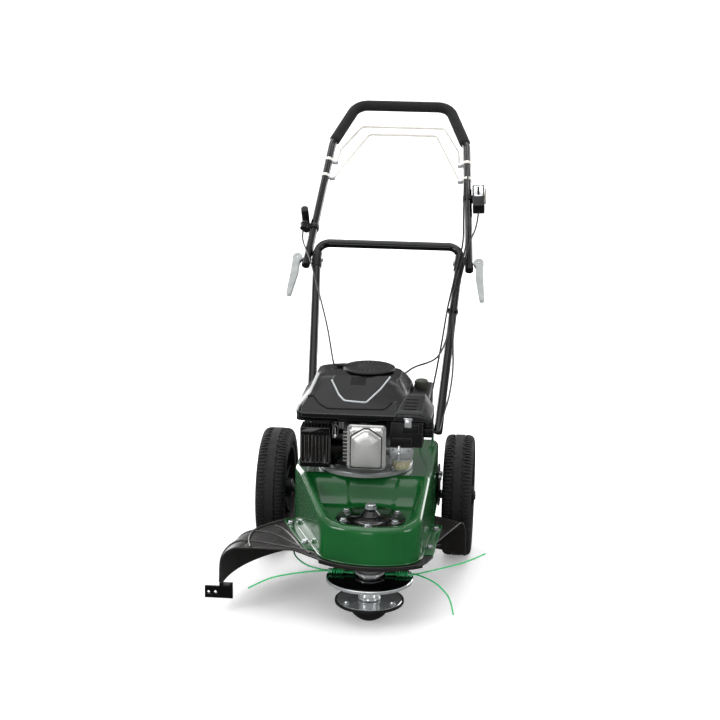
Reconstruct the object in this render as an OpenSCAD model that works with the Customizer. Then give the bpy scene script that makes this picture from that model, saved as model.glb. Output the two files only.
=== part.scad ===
// Wheeled string trimmer: a pressed steel deck on two large wheels and a ball foot,
// a vertical-shaft engine, a belt-driven line head under the nose and a folding handle.
// Origin: on the ground under the line head's axis. +X is to the right when the machine
// is seen from the front, +Y is to the rear, +Z is up. Millimetres.

/* [Wheels and axle] */
// outer radius of a tyre
wheel_r = 153; // [120:1:190]
// width of a tyre
tyre_w = 72; // [40:1:100]
// radius of the rim that the tyre sits on
rim_r = 112; // [90:1:116]
// thickness of the rim's ring
rim_t = 9; // [5:0.5:14]
// half of the distance between the two wheels' middles
track_half = 232; // [225:1:260]
// middle of the wheel pair, to the side of the head's axis
wheel_mid_x = -50; // [-55:1:-45]
// axle behind the guard's skirt
axle_gap = 125; // [120:1:170]
// radius of the axle
axle_r = 7; // [5:0.5:9]
// radius of a wheel hub
hub_r = 24; // [18:1:34]
// length of a wheel hub
hub_l = 80; // [74:1:84]
// number of spokes in a wheel
spoke_count = 10; // [5:1:14]
// thickness of a spoke
spoke_t = 7; // [4:0.5:12]
// thickness of an axle bracket
bracket_t = 5; // [3:0.5:6]

/* [Deck] */
// height of the deck's lower edge
deck_z = 160; // [156:1:164]
// height of the nose's top
nose_z = 243; // [238:1:250]
// height of the engine plate
plate_z = 305; // [298:1:312]
// thickness of the deck's sheet
sheet = 3; // [2:0.25:4]
// front of the nose
nose_front_y = -88; // [-96:1:-86]
// half width of the nose
nose_half = 112; // [100:1:118]
// depth of the nose's curve
nose_sag = 36; // [24:1:46]
// middle of the nose, to the side of the head's axis
nose_x = 6; // [0:1:12]
// middle of the deck's rear, to the side of the head's axis
deck_mid_x = -35; // [-38:1:-32]
// half width of the deck's rear
rear_half = 165; // [160:1:168]
// where the deck reaches its full width
shoulder_y = 190; // [170:1:210]
// rear end of the deck behind the handle's ends
rear_past = 23; // [20:1:30]
// start of the ramp up to the engine plate
ramp_y = 90; // [88:1:92]
// length of the ramp
ramp_l = 42; // [30:1:50]
// width of the bolting flanges at the deck's sides
flange_w = 24; // [22:1:30]
// thread radius of the deck's bolts
bolt_r = 4; // [3:0.25:5]

/* [Guard] */
// outer radius of the guard's skirt
guard_r = 350; // [330:1:352]
// radius of the rounded shoulder above the skirt
guard_round = 46; // [30:1:55]
// thickness of the guard's wall
guard_t = 4; // [3:0.5:5]
// height of the skirt's lower edge
skirt_z = 62; // [50:1:75]
// direction of the skirt's right end
guard_right_deg = 53; // [50:1:60]
// direction of the skirt's left end
guard_left_deg = 180; // [170:1:184]
// how far the front lip stands out past the nose
lip_out = 7; // [4:1:12]
// height of the front lip
lip_h = 10; // [6:1:14]
// radius of the guard's opening for the spindle
guard_hole_r = 46; // [42:1:60]
// length of the end bracket's tab
tab_l = 34; // [26:1:44]
// height of the end bracket's tab
tab_h = 30; // [24:1:36]
// radius of the tab's two holes
tab_hole_r = 3; // [2:0.25:4]

/* [Head] */
// radius of the spindle
spindle_r = 12.5; // [10:0.5:14]
// radius of the line disc
disc_r = 100; // [90:1:108]
// height of the line disc's top
disc_z = 107; // [100:1:112]
// thickness of the line disc
disc_t = 4; // [3:0.5:5]
// depth of the line disc's rolled rim
disc_rim = 8; // [6:0.5:10]
// radius of the hub on the line disc
line_hub_r = 36; // [28:1:40]
// radius of the collars on the spindle
collar_r = 20; // [17:0.5:23]
// radius of a trimmer line
line_r = 1.9; // [1.2:0.1:2.4]
// radius of the foot's disc
foot_r = 76; // [66:1:84]
// height of the foot disc's top
foot_z = 49; // [46:1:54]
// radius of the ball at the foot
ball_r = 50; // [46:1:56]
// radius of the spindle cover on the nose
cover_r = 80; // [76:1:84]
// radius of the cover's bolt circle
cover_bolt_ring = 68; // [64:1:70]
// number of bolts in the cover
cover_bolt_count = 6; // [4:1:8]

/* [Belt drive] */
// height of the belt's middle
belt_z = 190; // [186:1:194]
// outer radius of the pulley on the crankshaft
drive_pulley_r = 36; // [30:1:42]
// outer radius of the pulley on the spindle
spindle_pulley_r = 52; // [46:1:58]
// depth of the pulleys' grooves
groove_d = 10; // [9:0.5:12]
// width of the belt
belt_w = 12; // [10:0.5:14]
// thickness of the belt
belt_t = 8; // [6:0.5:9]
// radius of the idler pulley
idler_r = 20; // [16:1:22]

/* [Engine] */
// crankshaft behind the head's axis
crank_y = 215; // [210:1:222]
// radius of the crankshaft
crank_r = 12.5; // [10:0.5:14]
// radius of the engine's base flange
base_r = 112; // [106:1:114]
// radius of the crankcase
case_r = 72; // [66:1:74]
// height of the shroud's lower edge
shroud_z = 432; // [428:1:438]
// height of the shroud's top
shroud_top = 530; // [524:1:540]
// width of the shroud
shroud_w = 262; // [250:1:268]
// front of the shroud
shroud_front_y = 112; // [110:1:116]
// length of the shroud
shroud_l = 224; // [216:1:230]
// wall of the plastic covers
cover_wall = 3; // [2:0.5:4]
// middle of the cylinder, to the side of the head's axis
cyl_x = -19.5; // [-22:0.5:-17]
// middle height of the cylinder
cyl_z = 387; // [384:1:390]
// half width of the valve cover
valve_half_w = 45; // [40:1:48]
// half height of the valve cover
valve_half_h = 53; // [48:1:54]
// front of the valve cover
valve_front_y = 66; // [60:1:72]
// thickness of the valve cover
valve_t = 22; // [16:1:24]
// radius of the fuel cap
fuel_cap_r = 17; // [15:0.5:19]
// height of the fuel cap
fuel_cap_h = 22; // [16:1:26]

/* [Handle] */
// middle of engine and handle, to the side of the head's axis
body_mid_x = -32; // [-34:1:-30]
// outer radius of the handle's tubes
tube_r = 11; // [10:0.25:12]
// wall of the handle's tubes
tube_wall = 2; // [1.5:0.1:3]
// fold axis behind the head's axis
fold_y = 773; // [765:1:785]
// height of the fold axis
fold_z = 692; // [685:1:705]
// slope of the lower handle
lower_deg = 47; // [46:0.5:48]
// slope of the upper handle
upper_deg = 38; // [34:0.5:42]
// half width of the lower handle at the fold
lower_half = 188; // [184:1:192]
// half width of the lower handle at the deck
lower_end_half = 160; // [152:1:164]
// length of the lower handle below the fold
lower_l = 500; // [496:1:508]
// crossbar above the fold
crossbar_v = 50; // [42:1:60]
// bend radius of the lower handle's corners
lower_bend_r = 32; // [26:1:42]
// gap between the lapped tubes at the fold
lap_gap = 4; // [3:0.5:5]
// length of the upper handle above the fold
upper_l = 580; // [560:1:600]
// length of the upper handle below the fold
upper_tail = 25; // [20:1:32]
// half width of the upper handle at its knees
knee_half = 187; // [182:1:190]
// knees above the fold
knee_v = 425; // [415:1:435]
// half width of the upper handle at its top corners
top_half = 130; // [120:1:140]
// bend radius of the upper handle
upper_bend_r = 46; // [36:1:56]
// outer radius of the foam grip
grip_r = 15; // [14:0.5:17]
// radius of the bails' wire
wire_r = 3; // [2.5:0.25:3.5]
// brake bail's pivot above the drive bail's
bail_pitch = 60; // [54:1:66]
// drive bail's pivot above the fold
drive_v = 300; // [294:1:306]
// angle by which the brake bail hangs below the handle
brake_hang_deg = 15; // [14:0.5:20]
// angle by which the drive bail hangs below the handle
drive_hang_deg = 15.5; // [15:0.5:20]
// middle of the throttle box above the fold
throttle_v = 229; // [222:1:236]
// rope guide above the fold
guide_v = 110; // [105:1:118]
// length of a cam lever
lever_l = 115; // [100:1:130]
// length of the starter's grip bar
starter_l = 88; // [76:1:100]

/* [Hidden] */
$fn = 48;

// overrun of every cut
cut_over = 1;
// radial running clearance of shafts and pins
run_fit = 0.05;
// clearance between bodies that pass each other
body_gap = 0.4;
// radial clearance of bolts in their holes
bolt_gap = 0.3;
// bolt heads follow the thread
head_r = 1.9 * bolt_r;
head_h = 1.4 * bolt_r;
washer_r = 2.6 * bolt_r;
washer_h = 0.4 * bolt_r;

// derived places of the deck
nose_r = (nose_half * nose_half + nose_sag * nose_sag) / (2 * nose_sag);
nose_arc_y = nose_front_y + nose_r;
nose_corner_y = nose_front_y + nose_sag;
split_y = min(nose_arc_y, shoulder_y);
deck_left_x = deck_mid_x - rear_half;
deck_right_x = deck_mid_x + rear_half;
flange_span_shares = [0.2, 1.1];
flange_bolt_shares = [0.4, 0.93];
ear_w = 4.2 * tube_r;
ear_t = 0.4 * tube_r;

// derived places of the wheels
axle_y = guard_r + axle_gap;
left_x = wheel_mid_x - track_half;
right_x = wheel_mid_x + track_half;
collar_t = 0.4 * axle_r;
axle_collar_r = 1.6 * axle_r;
tyre_shares = [[-0.42, 0], [-0.5, 0.3], [-0.5, 0.62], [-0.44, 0.86], [-0.3, 0.98], [0, 1],
  [0.3, 0.98], [0.44, 0.86], [0.5, 0.62], [0.5, 0.3], [0.42, 0]];

// derived places of the guard
guard_top = deck_z;
guard_flat_r = guard_r - guard_round;
guard_end = guard_r * [cos(guard_right_deg), sin(guard_right_deg)];
guard_root_share = 0.3;
guard_root = [deck_right_x + 0.6 * flange_w, guard_root_share * guard_end[1]];
rib_shares = [0.56, 0.68, 0.8];
rib_spans_deg = [18, 28, 34];
guard_over_deg = 6;
// the rim lies a little below the flat plate
guard_step = 0.05 * guard_t;
tab_t = 1.25 * guard_t;
tab_spacing = 0.47 * tab_l;

// derived places of the head
pulley_h = 2 * belt_w;
disc_low = disc_z - disc_t;
rim_low = disc_z - disc_rim;
line_hub_h = 11;
foot_t = 5;
foot_low = foot_z - foot_t;
cup_wall = 4;
cup_rim_h = 7;
cup_cone_h = 4;
cup_r = foot_r + cup_wall;
ball_flat_share = 0.04;
ball_z = ball_r * (1 - ball_flat_share);
nut_r = 1.45 * spindle_r;
nut_h = 8;
foot_bolt_r = 3;
foot_bolt_l = 10;
foot_bolt_count = 3;
foot_bolt_ring = 0.8 * foot_r;
cover_t = 4;
dish_t = 6;
dish_r = 0.68 * cover_r;
housing_t = 8;
housing_r = 2.7 * spindle_r;
housing_low = belt_z + pulley_h / 2 + 4 * body_gap;
housing_cap = 4;
eyelet_r = 3.2 * line_r;
eyelet_bore = 2.5 * line_r;
eyelet_l = 8;
eyelet_ring = 0.92 * disc_r;

// derived places of the engine
crank_x = body_mid_x;
base_t = 12;
base_top = plate_z + base_t;
base_bolt_ring = 0.9 * base_r;
case_top = shroud_z + cover_wall;
fin_half = 0.91 * valve_half_w;
fin_half_h = 0.77 * valve_half_h;
core_half = 0.75 * fin_half;
core_half_h = 0.75 * fin_half_h;
fin_t = 3;
fin_count = 6;
valve_back_y = valve_front_y + valve_t;
valve_panel_t = 0.25 * valve_t;
valve_panel_shares = [[-0.72, -0.8], [0.72, -0.8], [0.72, 0.42], [0, 0.82], [-0.72, 0.42]];
screw_r = 2.5;
screw_shares = [0.86, 0.88];
shroud_left_x = crank_x - 0.603 * shroud_w;
shroud_right_x = shroud_left_x + shroud_w;
shroud_back_y = shroud_front_y + shroud_l;
shroud_h = shroud_top - shroud_z;
shroud_front_shares = [[0, 0], [0, 0.34], [0.09, 0.6], [0.14, 0.94], [0.25, 1], [0.76, 1],
  [0.9, 0.88], [1, 0.55], [1, 0]];
shroud_side_shares = [[0.03, 0], [0, 0.2], [0.05, 0.36], [0.42, 0.93], [0.52, 1], [0.86, 1],
  [1, 0.78], [1, 0]];
recoil_r = 0.24 * shroud_w;
recoil_y = lerp(shroud_front_y, shroud_back_y, 0.68);
recoil_h = 8;
outlet_r = 0.5 * recoil_h - body_gap;
outlet_l = 14;
intake_l = 10;
air_x0 = cyl_x + fin_half + intake_l;
air_w = 100;
air_l = 68;
air_y0 = shroud_front_y;
air_rise = 8;
air_z0 = shroud_z + air_rise;
air_h = 58;
air_shares = [[0, 0], [0, 0.8], [0.12, 1], [0.75, 1], [1, 0.4], [1, 0]];
air_box_h = 60;
air_box_inset = 1;
recess_gap = 2;
carb_w = 54;
carb_l = 50;
carb_h = 28;
carb_z0 = air_z0 - air_box_h - carb_h;
intake_r = 0.4 * carb_h;
bowl_r = 0.39 * carb_w;
bowl_h = 26;
tank_w = 46;
tank_gap = 20;
tank_y0 = air_y0 + air_l + tank_gap;
tank_l = 150;
tank_drop = 45;
tank_z0 = air_z0 - tank_drop;
tank_h = 85;
neck_r = 0.76 * fuel_cap_r;
neck_h = 0.55 * fuel_cap_h;
neck_y = tank_y0 + 0.57 * tank_l;
neck_x = shroud_right_x + 0.45 * tank_w;
muffler_w = 68;
muffler_off = 75;
muffler_x0 = crank_x - muffler_off - muffler_w;
muffler_back = 20;
muffler_y0 = valve_back_y + muffler_back;
muffler_l = 100;
muffler_lift = 12;
muffler_z0 = base_top + muffler_lift;
muffler_h = 92;
muffler_wall = 2;
pipe_r = 14;
slot_count = 6;
plug_r = 7;
plug_y = valve_back_y + 0.25 * (crank_y - valve_back_y);
plug_z = cyl_z + 0.25 * valve_half_h;
plug_l = 34;
lead_r = 3.5;
fly_r = 64;
fly_h = 24;
fly_lift = 6;
crank_up = 60;

// derived places of the belt drive
drive_groove_r = drive_pulley_r - groove_d;
spindle_groove_r = spindle_pulley_r - groove_d;
belt_gap = 0.3;
groove_w = belt_w + 2 * body_gap;
shaft_end = 6;
idler_pivot = [crank_x + 3.55 * drive_pulley_r, 0.78 * crank_y];
idler_at = [crank_x + 2.5 * drive_pulley_r, 0.52 * crank_y];
idler_pin_r = 0.4 * idler_r;
idler_h = 1.5 * belt_w;
arm_t = 0.25 * idler_r;
arm_half = 0.6 * idler_r;
arm_z = belt_z + idler_h / 2 + body_gap;

// derived places of the handle
fold_half = lower_half + 2 * tube_r + lap_gap;
upper_foot_half = lerp(knee_half, fold_half, (knee_v + upper_tail) / knee_v);
upper_slope = atan2(fold_half - knee_half, knee_v);
lower_slope = atan2(lower_half - lower_end_half, lower_l);
corner_half = lower_end_half + (lower_half - lower_end_half) * (lower_l + crossbar_v) / lower_l;
end_y = fold_y - lower_l * cos(lower_deg);
end_z = fold_z - lower_l * sin(lower_deg);
rear_y = end_y + rear_past;
brake_v = drive_v + bail_pitch;
grip_start_share = 0.06;
clamp_r = 4;
clamp_head_r = 8;
clamp_head_h = 5;
cross_pin_r = 3;
// room that the legs' lean takes beside a clamp's flat faces
lower_lean = clamp_head_r * tan(lower_slope) + tube_r * (1 / cos(lower_slope) - 1);
upper_lean = clamp_head_r * tan(upper_slope) + tube_r * (1 / cos(upper_slope) - 1);
bail_drop = 0.45 * tube_r;
bail_bend_r = 3.5 * wire_r;
bail_in = 4 * wire_r;
pin_in = 0.55 * tube_r;
nest = grip_r + 2 * wire_r;
nest_slant_share = 1.06;
nest_top_share = 0.7;
drive_top_share = 0.72;
drive_nest_share = 1.67;
eye_half_t = 1.1 * clamp_r;
lever_half_t = 2 * clamp_r;
lever_head_r = 1.2 * tube_r;
lever_gap = 1.2;
lever_x = fold_half + tube_r + lever_head_r + lever_gap;
lever_shares = [[0.9, -0.05], [1.05, -0.35], [1.5, -0.97], [1.25, -1], [0.55, -1], [-0.45, -0.4],
  [-0.55, -0.05]];
ring_t = 3;
ring_w = 16;
box_w = 32;
box_l = 76;
box_h = 36;
box_off = 2;
box_x = tube_r + box_off;
throttle_pin_r = 4;
throttle_pin_l = 8;
paddle_r = 13;
paddle_t = 5;
paddle_l = 46;
guide_off = 16;
guide_x = tube_r + guide_off;
guide_h = 14;
guide_r = 10;
rope_r = 2.2;
rope_play = 1.2;
stem_r = 7;
stem_h = 20;
stem_flange_r = 12;
stem_flange_h = 4;
bar_r = 10;
cable_r = 2.4;
tie_share = 0.3;
tie_t = 2.2;
tie_w = 6;
tie_block_w = 26;
tie_block_h = 4;
swell_share = 0.03;
swell_l_share = 0.25;

// hand-chosen routes of the cords
rope_route = [[-109.2, 264.3, 534], [-114, 266, 535], [-121, 282, 542], [-150, 410, 594],
  [-190, 560, 651], [-228, 700, 699], [-262, 815, 728], [-267, 845, 748], [-266.5, 855.5, 756.5],
  [-265.5, 866.5, 765]];
throttle_route = [[198.9, 924.5, 810.4], [196, 880, 780], [190, 835, 762], [180, 788, 742],
  [166, 725, 676], [150, 660, 597], [152, 600, 540], [158, 500, 475], [156, 380, 440],
  [150, 260, 428], [146, 185, 419], [143.5, 152, 413.4], [137, 146.1, 412.1], [130.9, 146, 412]];
brake_route = [[163, 1036, 915], [166, 958, 861], [170, 880, 800], [172, 793, 740],
  [158, 725, 676], [142, 660, 598], [138, 590, 540], [118, 480, 508], [70, 390, 505],
  [54, 356, 501.2], [50.2, 345.5, 500.2], [50, 336.4, 500]];
drive_route = [[156, 985, 883], [158, 930, 840], [161, 860, 788], [163, 790, 740],
  [150, 725, 676], [134, 660, 597], [124, 590, 520], [108, 500, 420], [88, 430, 345],
  [85.3, 406, 316], [85, 405, 305.6]];
lead_route = [[-94.9, 119.75, 400.25], [-98.2, 119.75, 400.6], [-101, 119.9, 405], [-101, 120.5, 418],
  [-101, 121, 431.8]];
// the four lines leave the head in two opposite pairs
line_routes = [
  [[36, 4, 111], [84, 2.6, 113], [100, 2.6, 113], [112, 4.5, 113.5], [160, 34, 117], [215, 67, 123],
    [262, 101, 134]],
  [[36, -4, 111], [84, -2.6, 113], [100, -2.6, 113], [112, -4.5, 113.2], [152, -34, 108],
    [186, -100, 102], [202, -190, 96]],
  [[-36, -4, 111], [-84, -2.6, 113], [-100, -2.6, 113], [-112, -4.5, 113.2], [-165, -20, 111],
    [-222, -46, 106], [-268, -90, 96]],
  [[-36, 4, 111], [-84, 2.6, 113], [-100, 2.6, 113], [-112, 4.5, 113.2], [-152, 34, 112],
    [-186, 100, 109], [-202, 190, 104]]];

function lerp(a, b, t) = a + (b - a) * t;
function unit(a) = a / norm(a);
function deck_side(s, y) = y > shoulder_y ? deck_mid_x + s * rear_half
  : lerp(nose_x + s * nose_half, deck_mid_x + s * rear_half,
    (y - nose_corner_y) / (shoulder_y - nose_corner_y));

// smooth curve through the points of a route
function spline(p, i, t) = let (
    a = p[max(i - 1, 0)], b = p[i], c = p[i + 1], d = p[min(i + 2, len(p) - 1)])
  0.5 * (2 * b + (c - a) * t + (2 * a - 5 * b + 4 * c - d) * t * t
    + (3 * b - a - 3 * c + d) * t * t * t);
function smooth(p, n) = concat([for (i = [0 : len(p) - 2], k = [0 : n - 1]) spline(p, i, k / n)],
  [p[len(p) - 1]]);

// round cord along a route; side is a direction that the route never follows
module cord(route, r, n, side) {
  p = smooth(route, n);
  m = len(p);
  corners = 8;
  pts = [for (i = [0 : m - 1]) let (
      d = unit(p[min(i + 1, m - 1)] - p[max(i - 1, 0)]),
      a = unit(cross(d, side)), b = cross(d, a))
    for (k = [0 : corners - 1]) p[i] + r * (cos(360 * k / corners) * a + sin(360 * k / corners) * b)];
  walls = [for (i = [0 : m - 2], k = [0 : corners - 1]) let (k1 = (k + 1) % corners)
    [i * corners + k, (i + 1) * corners + k, (i + 1) * corners + k1, i * corners + k1]];
  polyhedron(points = pts, faces = concat(walls,
    [[for (k = [0 : corners - 1]) k]],
    [[for (k = [corners - 1 : -1 : 0]) (m - 1) * corners + k]]), convexity = 6);
}

// bar in the XY plane along a list of points, with rounded bends
function runs(p) = [for (i = [0 : len(p) - 2]) unit(p[i + 1] - p[i])];
function turns(p) = let (d = runs(p), m = len(p)) [for (i = [0 : m - 1]) i == 0 || i == m - 1 ? 0
  : atan2(d[i - 1][0] * d[i][1] - d[i - 1][1] * d[i][0], d[i - 1] * d[i])];
function backs(p, bend_r) = [for (a = turns(p)) bend_r * tan(abs(a) / 2)];
module straights(p, bend_r, r) {
  d = runs(p);
  back = backs(p, bend_r);
  for (i = [0 : len(d) - 1]) {
    a = p[i] + back[i] * d[i];
    b = p[i + 1] - back[i + 1] * d[i];
    translate([a[0], a[1], 0]) rotate([0, 90, atan2(d[i][1], d[i][0])])
      cylinder(h = norm(b - a), r = r);
  }
}
module bent_bar(p, bend_r, r) {
  d = runs(p);
  turn = turns(p);
  back = backs(p, bend_r);
  straights(p, bend_r, r);
  for (i = [1 : len(p) - 2]) {
    n = sign(turn[i]) * [-d[i - 1][1], d[i - 1][0]];
    c = p[i] - back[i] * d[i - 1] + bend_r * n;
    translate([c[0], c[1], 0]) rotate(atan2(-n[1], -n[0]) + min(turn[i], 0))
      rotate_extrude(angle = abs(turn[i])) translate([bend_r, 0]) circle(r = r);
    // faint swellings where a bend meets the straights
    for (k = [-1, 0]) let (q = p[i] + (2 * k + 1) * back[i] * d[i + k])
      translate([q[0], q[1], 0]) rotate([0, 90, atan2(d[i + k][1], d[i + k][0])])
        translate([0, 0, -swell_l_share * r]) cylinder(h = 2 * swell_l_share * r, r = (1 + swell_share) * r);
  }
}

// outline in Y and Z drawn out along X, and in X and Z drawn out along Y
module along_x(x0, l) {
  translate([x0, 0, 0]) rotate([90, 0, 90]) linear_extrude(height = l) children();
}
module along_y(y0, l) {
  translate([0, y0 + l, 0]) rotate([90, 0, 0]) linear_extrude(height = l) children();
}
module box(x0, y0, z0, w, l, h) {
  translate([x0, y0, z0]) cube([w, l, h]);
}
module tube(r, hole_r, h) {
  difference() {
    cylinder(h = h, r = r);
    translate([0, 0, -cut_over]) cylinder(h = h + 2 * cut_over, r = hole_r);
  }
}
// bolt whose head sits on z = 0 and whose thread points down
module bolt(r, l) {
  cylinder(h = washer_h * r / bolt_r, r = washer_r * r / bolt_r);
  cylinder(h = (washer_h + head_h) * r / bolt_r, r = head_r * r / bolt_r, $fn = 6);
  translate([0, 0, -l]) cylinder(h = l + washer_h * r / bolt_r, r = r);
}
// bar along X from x0 to x1
module across(x0, x1, r) {
  translate([min(x0, x1), 0, 0]) rotate([0, 90, 0]) cylinder(h = abs(x1 - x0), r = r);
}
// frames of the two handle halves: X across, Y up the slope, Z out of the slope
module lower() {
  translate([body_mid_x, fold_y, fold_z]) rotate([lower_deg, 0, 0]) children();
}
module upper() {
  translate([body_mid_x, fold_y, fold_z]) rotate([upper_deg, 0, 0]) children();
}
function leg_u(v) = lerp(fold_half, knee_half, v / knee_v);
// frame on a leg of the upper handle: X outwards, Y up the leg
module on_leg(s, v) {
  upper() mirror([s < 0 ? 1 : 0, 0, 0]) translate([leg_u(v), v, 0]) rotate(upper_slope) children();
}

// outline of the deck seen from above
module deck_plan(inset) {
  corner_x = [deck_side(-1, nose_corner_y) + inset, deck_side(1, nose_corner_y) - inset];
  split_x = [deck_side(-1, split_y) + inset, deck_side(1, split_y) - inset];
  intersection() {
    translate([nose_x, nose_arc_y]) circle(r = nose_r - inset, $fn = 120);
    polygon([[corner_x[0], nose_front_y + inset], [corner_x[1], nose_front_y + inset],
      [corner_x[1], nose_corner_y], [split_x[1], split_y], [split_x[0], split_y],
      [corner_x[0], nose_corner_y]]);
  }
  polygon([[split_x[0], split_y], [split_x[1], split_y], [deck_right_x - inset, shoulder_y],
    [deck_right_x - inset, rear_y - inset], [deck_left_x + inset, rear_y - inset],
    [deck_left_x + inset, shoulder_y]]);
}
// solid form of the deck: its outline under the stepped top
module deck_form(inset, drop) {
  intersection() {
    translate([0, 0, deck_z - drop]) linear_extrude(height = plate_z - deck_z) deck_plan(inset);
    along_x(deck_left_x - flange_w, 2 * (rear_half + flange_w + nose_half)) translate([0, -drop])
      polygon([[nose_front_y - cut_over, deck_z - cut_over], [nose_front_y - cut_over, nose_z],
        [ramp_y, nose_z], [ramp_y + ramp_l, plate_z], [rear_y + cut_over, plate_z],
        [rear_y + cut_over, deck_z - cut_over]]);
  }
}
function flange_y(share) = lerp(nose_corner_y, shoulder_y, share);
flange_ends = [for (share = flange_span_shares) flange_y(share)];
flange_bolts = [for (s = [-1, 1], share = flange_bolt_shares)
  [deck_side(s, flange_y(share)) + s * flange_w / 2, flange_y(share)]];
module flange_plan() {
  for (s = [-1, 1]) polygon([for (y = [flange_ends[0], shoulder_y, flange_ends[1]])
      [deck_side(s, y) - s * sheet / 2, y],
    for (y = [flange_ends[1], shoulder_y, flange_ends[0]]) [deck_side(s, y) + s * flange_w, y]]);
}
cover_bolts = [for (i = [0 : cover_bolt_count - 1]) let (a = 90 + 360 * i / cover_bolt_count)
  cover_bolt_ring * [cos(a), sin(a)]];
base_bolts = [for (a = [45 : 90 : 315])
  [crank_x + base_bolt_ring * cos(a), crank_y + base_bolt_ring * sin(a)]];

module at_each(places, z) {
  for (p = places) translate([p[0], p[1], z]) children();
}

module deck() {
  color("#1c5a2e") difference() {
    union() {
      difference() {
        deck_form(0, 0);
        deck_form(sheet, sheet);
      }
      translate([0, 0, deck_z]) linear_extrude(height = sheet) difference() {
        flange_plan();
        deck_plan(sheet / 2);
      }
      // ears that carry the handle
      for (s = [-1, 1]) let (x = body_mid_x + s * (lower_end_half - tube_r))
        box(min(x, x - s * ear_t), end_y - ear_w / 2, plate_z, ear_t, ear_w, end_z - plate_z + ear_w / 2);
      // stud that carries the idler arm
      translate([idler_pivot[0], idler_pivot[1], arm_z - cut_over])
        cylinder(h = plate_z - sheet / 2 - arm_z + cut_over, r = idler_pin_r);
    }
    at_each(cover_bolts, nose_z - 2 * sheet) cylinder(h = 4 * sheet, r = bolt_r + bolt_gap);
    at_each(flange_bolts, deck_z - sheet) cylinder(h = 4 * sheet, r = bolt_r + bolt_gap);
    at_each(base_bolts, plate_z - 2 * sheet) cylinder(h = 4 * sheet, r = bolt_r + bolt_gap);
    translate([crank_x, crank_y, plate_z - 2 * sheet]) cylinder(h = 4 * sheet, r = 1.7 * crank_r);
    translate([body_mid_x, end_y, end_z]) across(-lower_end_half, lower_end_half, bolt_r + bolt_gap);
    for (y = bracket_bolt_y) translate([0, y, bracket_bolt_z])
      across(deck_left_x - cut_over, deck_right_x + cut_over, bolt_r + bolt_gap);
  }
}

bracket_h = 0.55 * (plate_z - deck_z);
bracket_front_y = rear_y - 0.95 * bracket_h;
bracket_bolt_y = [bracket_front_y + 0.22 * bracket_h, bracket_front_y + 0.68 * bracket_h];
bracket_bolt_z = deck_z + 0.75 * bracket_h;

module deck_bolts() {
  color("#b9bcbe") {
    at_each(cover_bolts, nose_z + cover_t) bolt(bolt_r, cover_t + sheet + 0.7 * housing_t);
    at_each(flange_bolts, deck_z + sheet) bolt(bolt_r, sheet + 3 * guard_t);
    at_each(base_bolts, base_top) bolt(bolt_r, base_t + 3 * sheet);
    for (s = [-1, 1]) {
      translate([body_mid_x + s * (lower_end_half - tube_r - ear_t), end_y, end_z])
        rotate([0, -90 * s, 0]) bolt(bolt_r, ear_t + 2.4 * tube_r);
      for (y = bracket_bolt_y)
        translate([deck_mid_x + s * (rear_half + bracket_t), y, bracket_bolt_z])
          rotate([0, 90 * s, 0]) bolt(bolt_r, bracket_t + 3 * sheet);
    }
  }
}

// cross-section of the guard's rim: flat, rounded shoulder and skirt
module skirt_profile() {
  top = guard_top - guard_step;
  c = [guard_flat_r, top - guard_round];
  steps = 8;
  polygon(concat([[guard_flat_r - guard_round / 2, top]],
    [for (i = [0 : steps]) let (t = 90 * (1 - i / steps)) c + guard_round * [cos(t), sin(t)]],
    [[guard_r, skirt_z], [guard_r - guard_t, skirt_z]],
    [for (i = [0 : steps]) let (t = 90 * i / steps) c + (guard_round - guard_t) * [cos(t), sin(t)]],
    [[guard_flat_r - guard_round / 2, top - guard_t]]));
}
module guard_plan() {
  far = 2 * guard_r;
  left = guard_left_deg - guard_over_deg / 20;
  intersection() {
    circle(r = guard_flat_r - guard_round / 4, $fn = 120);
    union() {
      polygon([[0, 0], guard_root + [flange_w, 0], 2 * guard_end + [flange_w, 0], [0, far], [-far, far],
        far * [cos(left), sin(left)]]);
      deck_plan(-lip_out);
      flange_plan();
      // web from the left wing to the nose's corner
      polygon([[nose_x - 1.7 * nose_half, lip_out], [nose_x - nose_half, nose_corner_y - lip_out], [0, 0]]);
    }
  }
}
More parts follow.
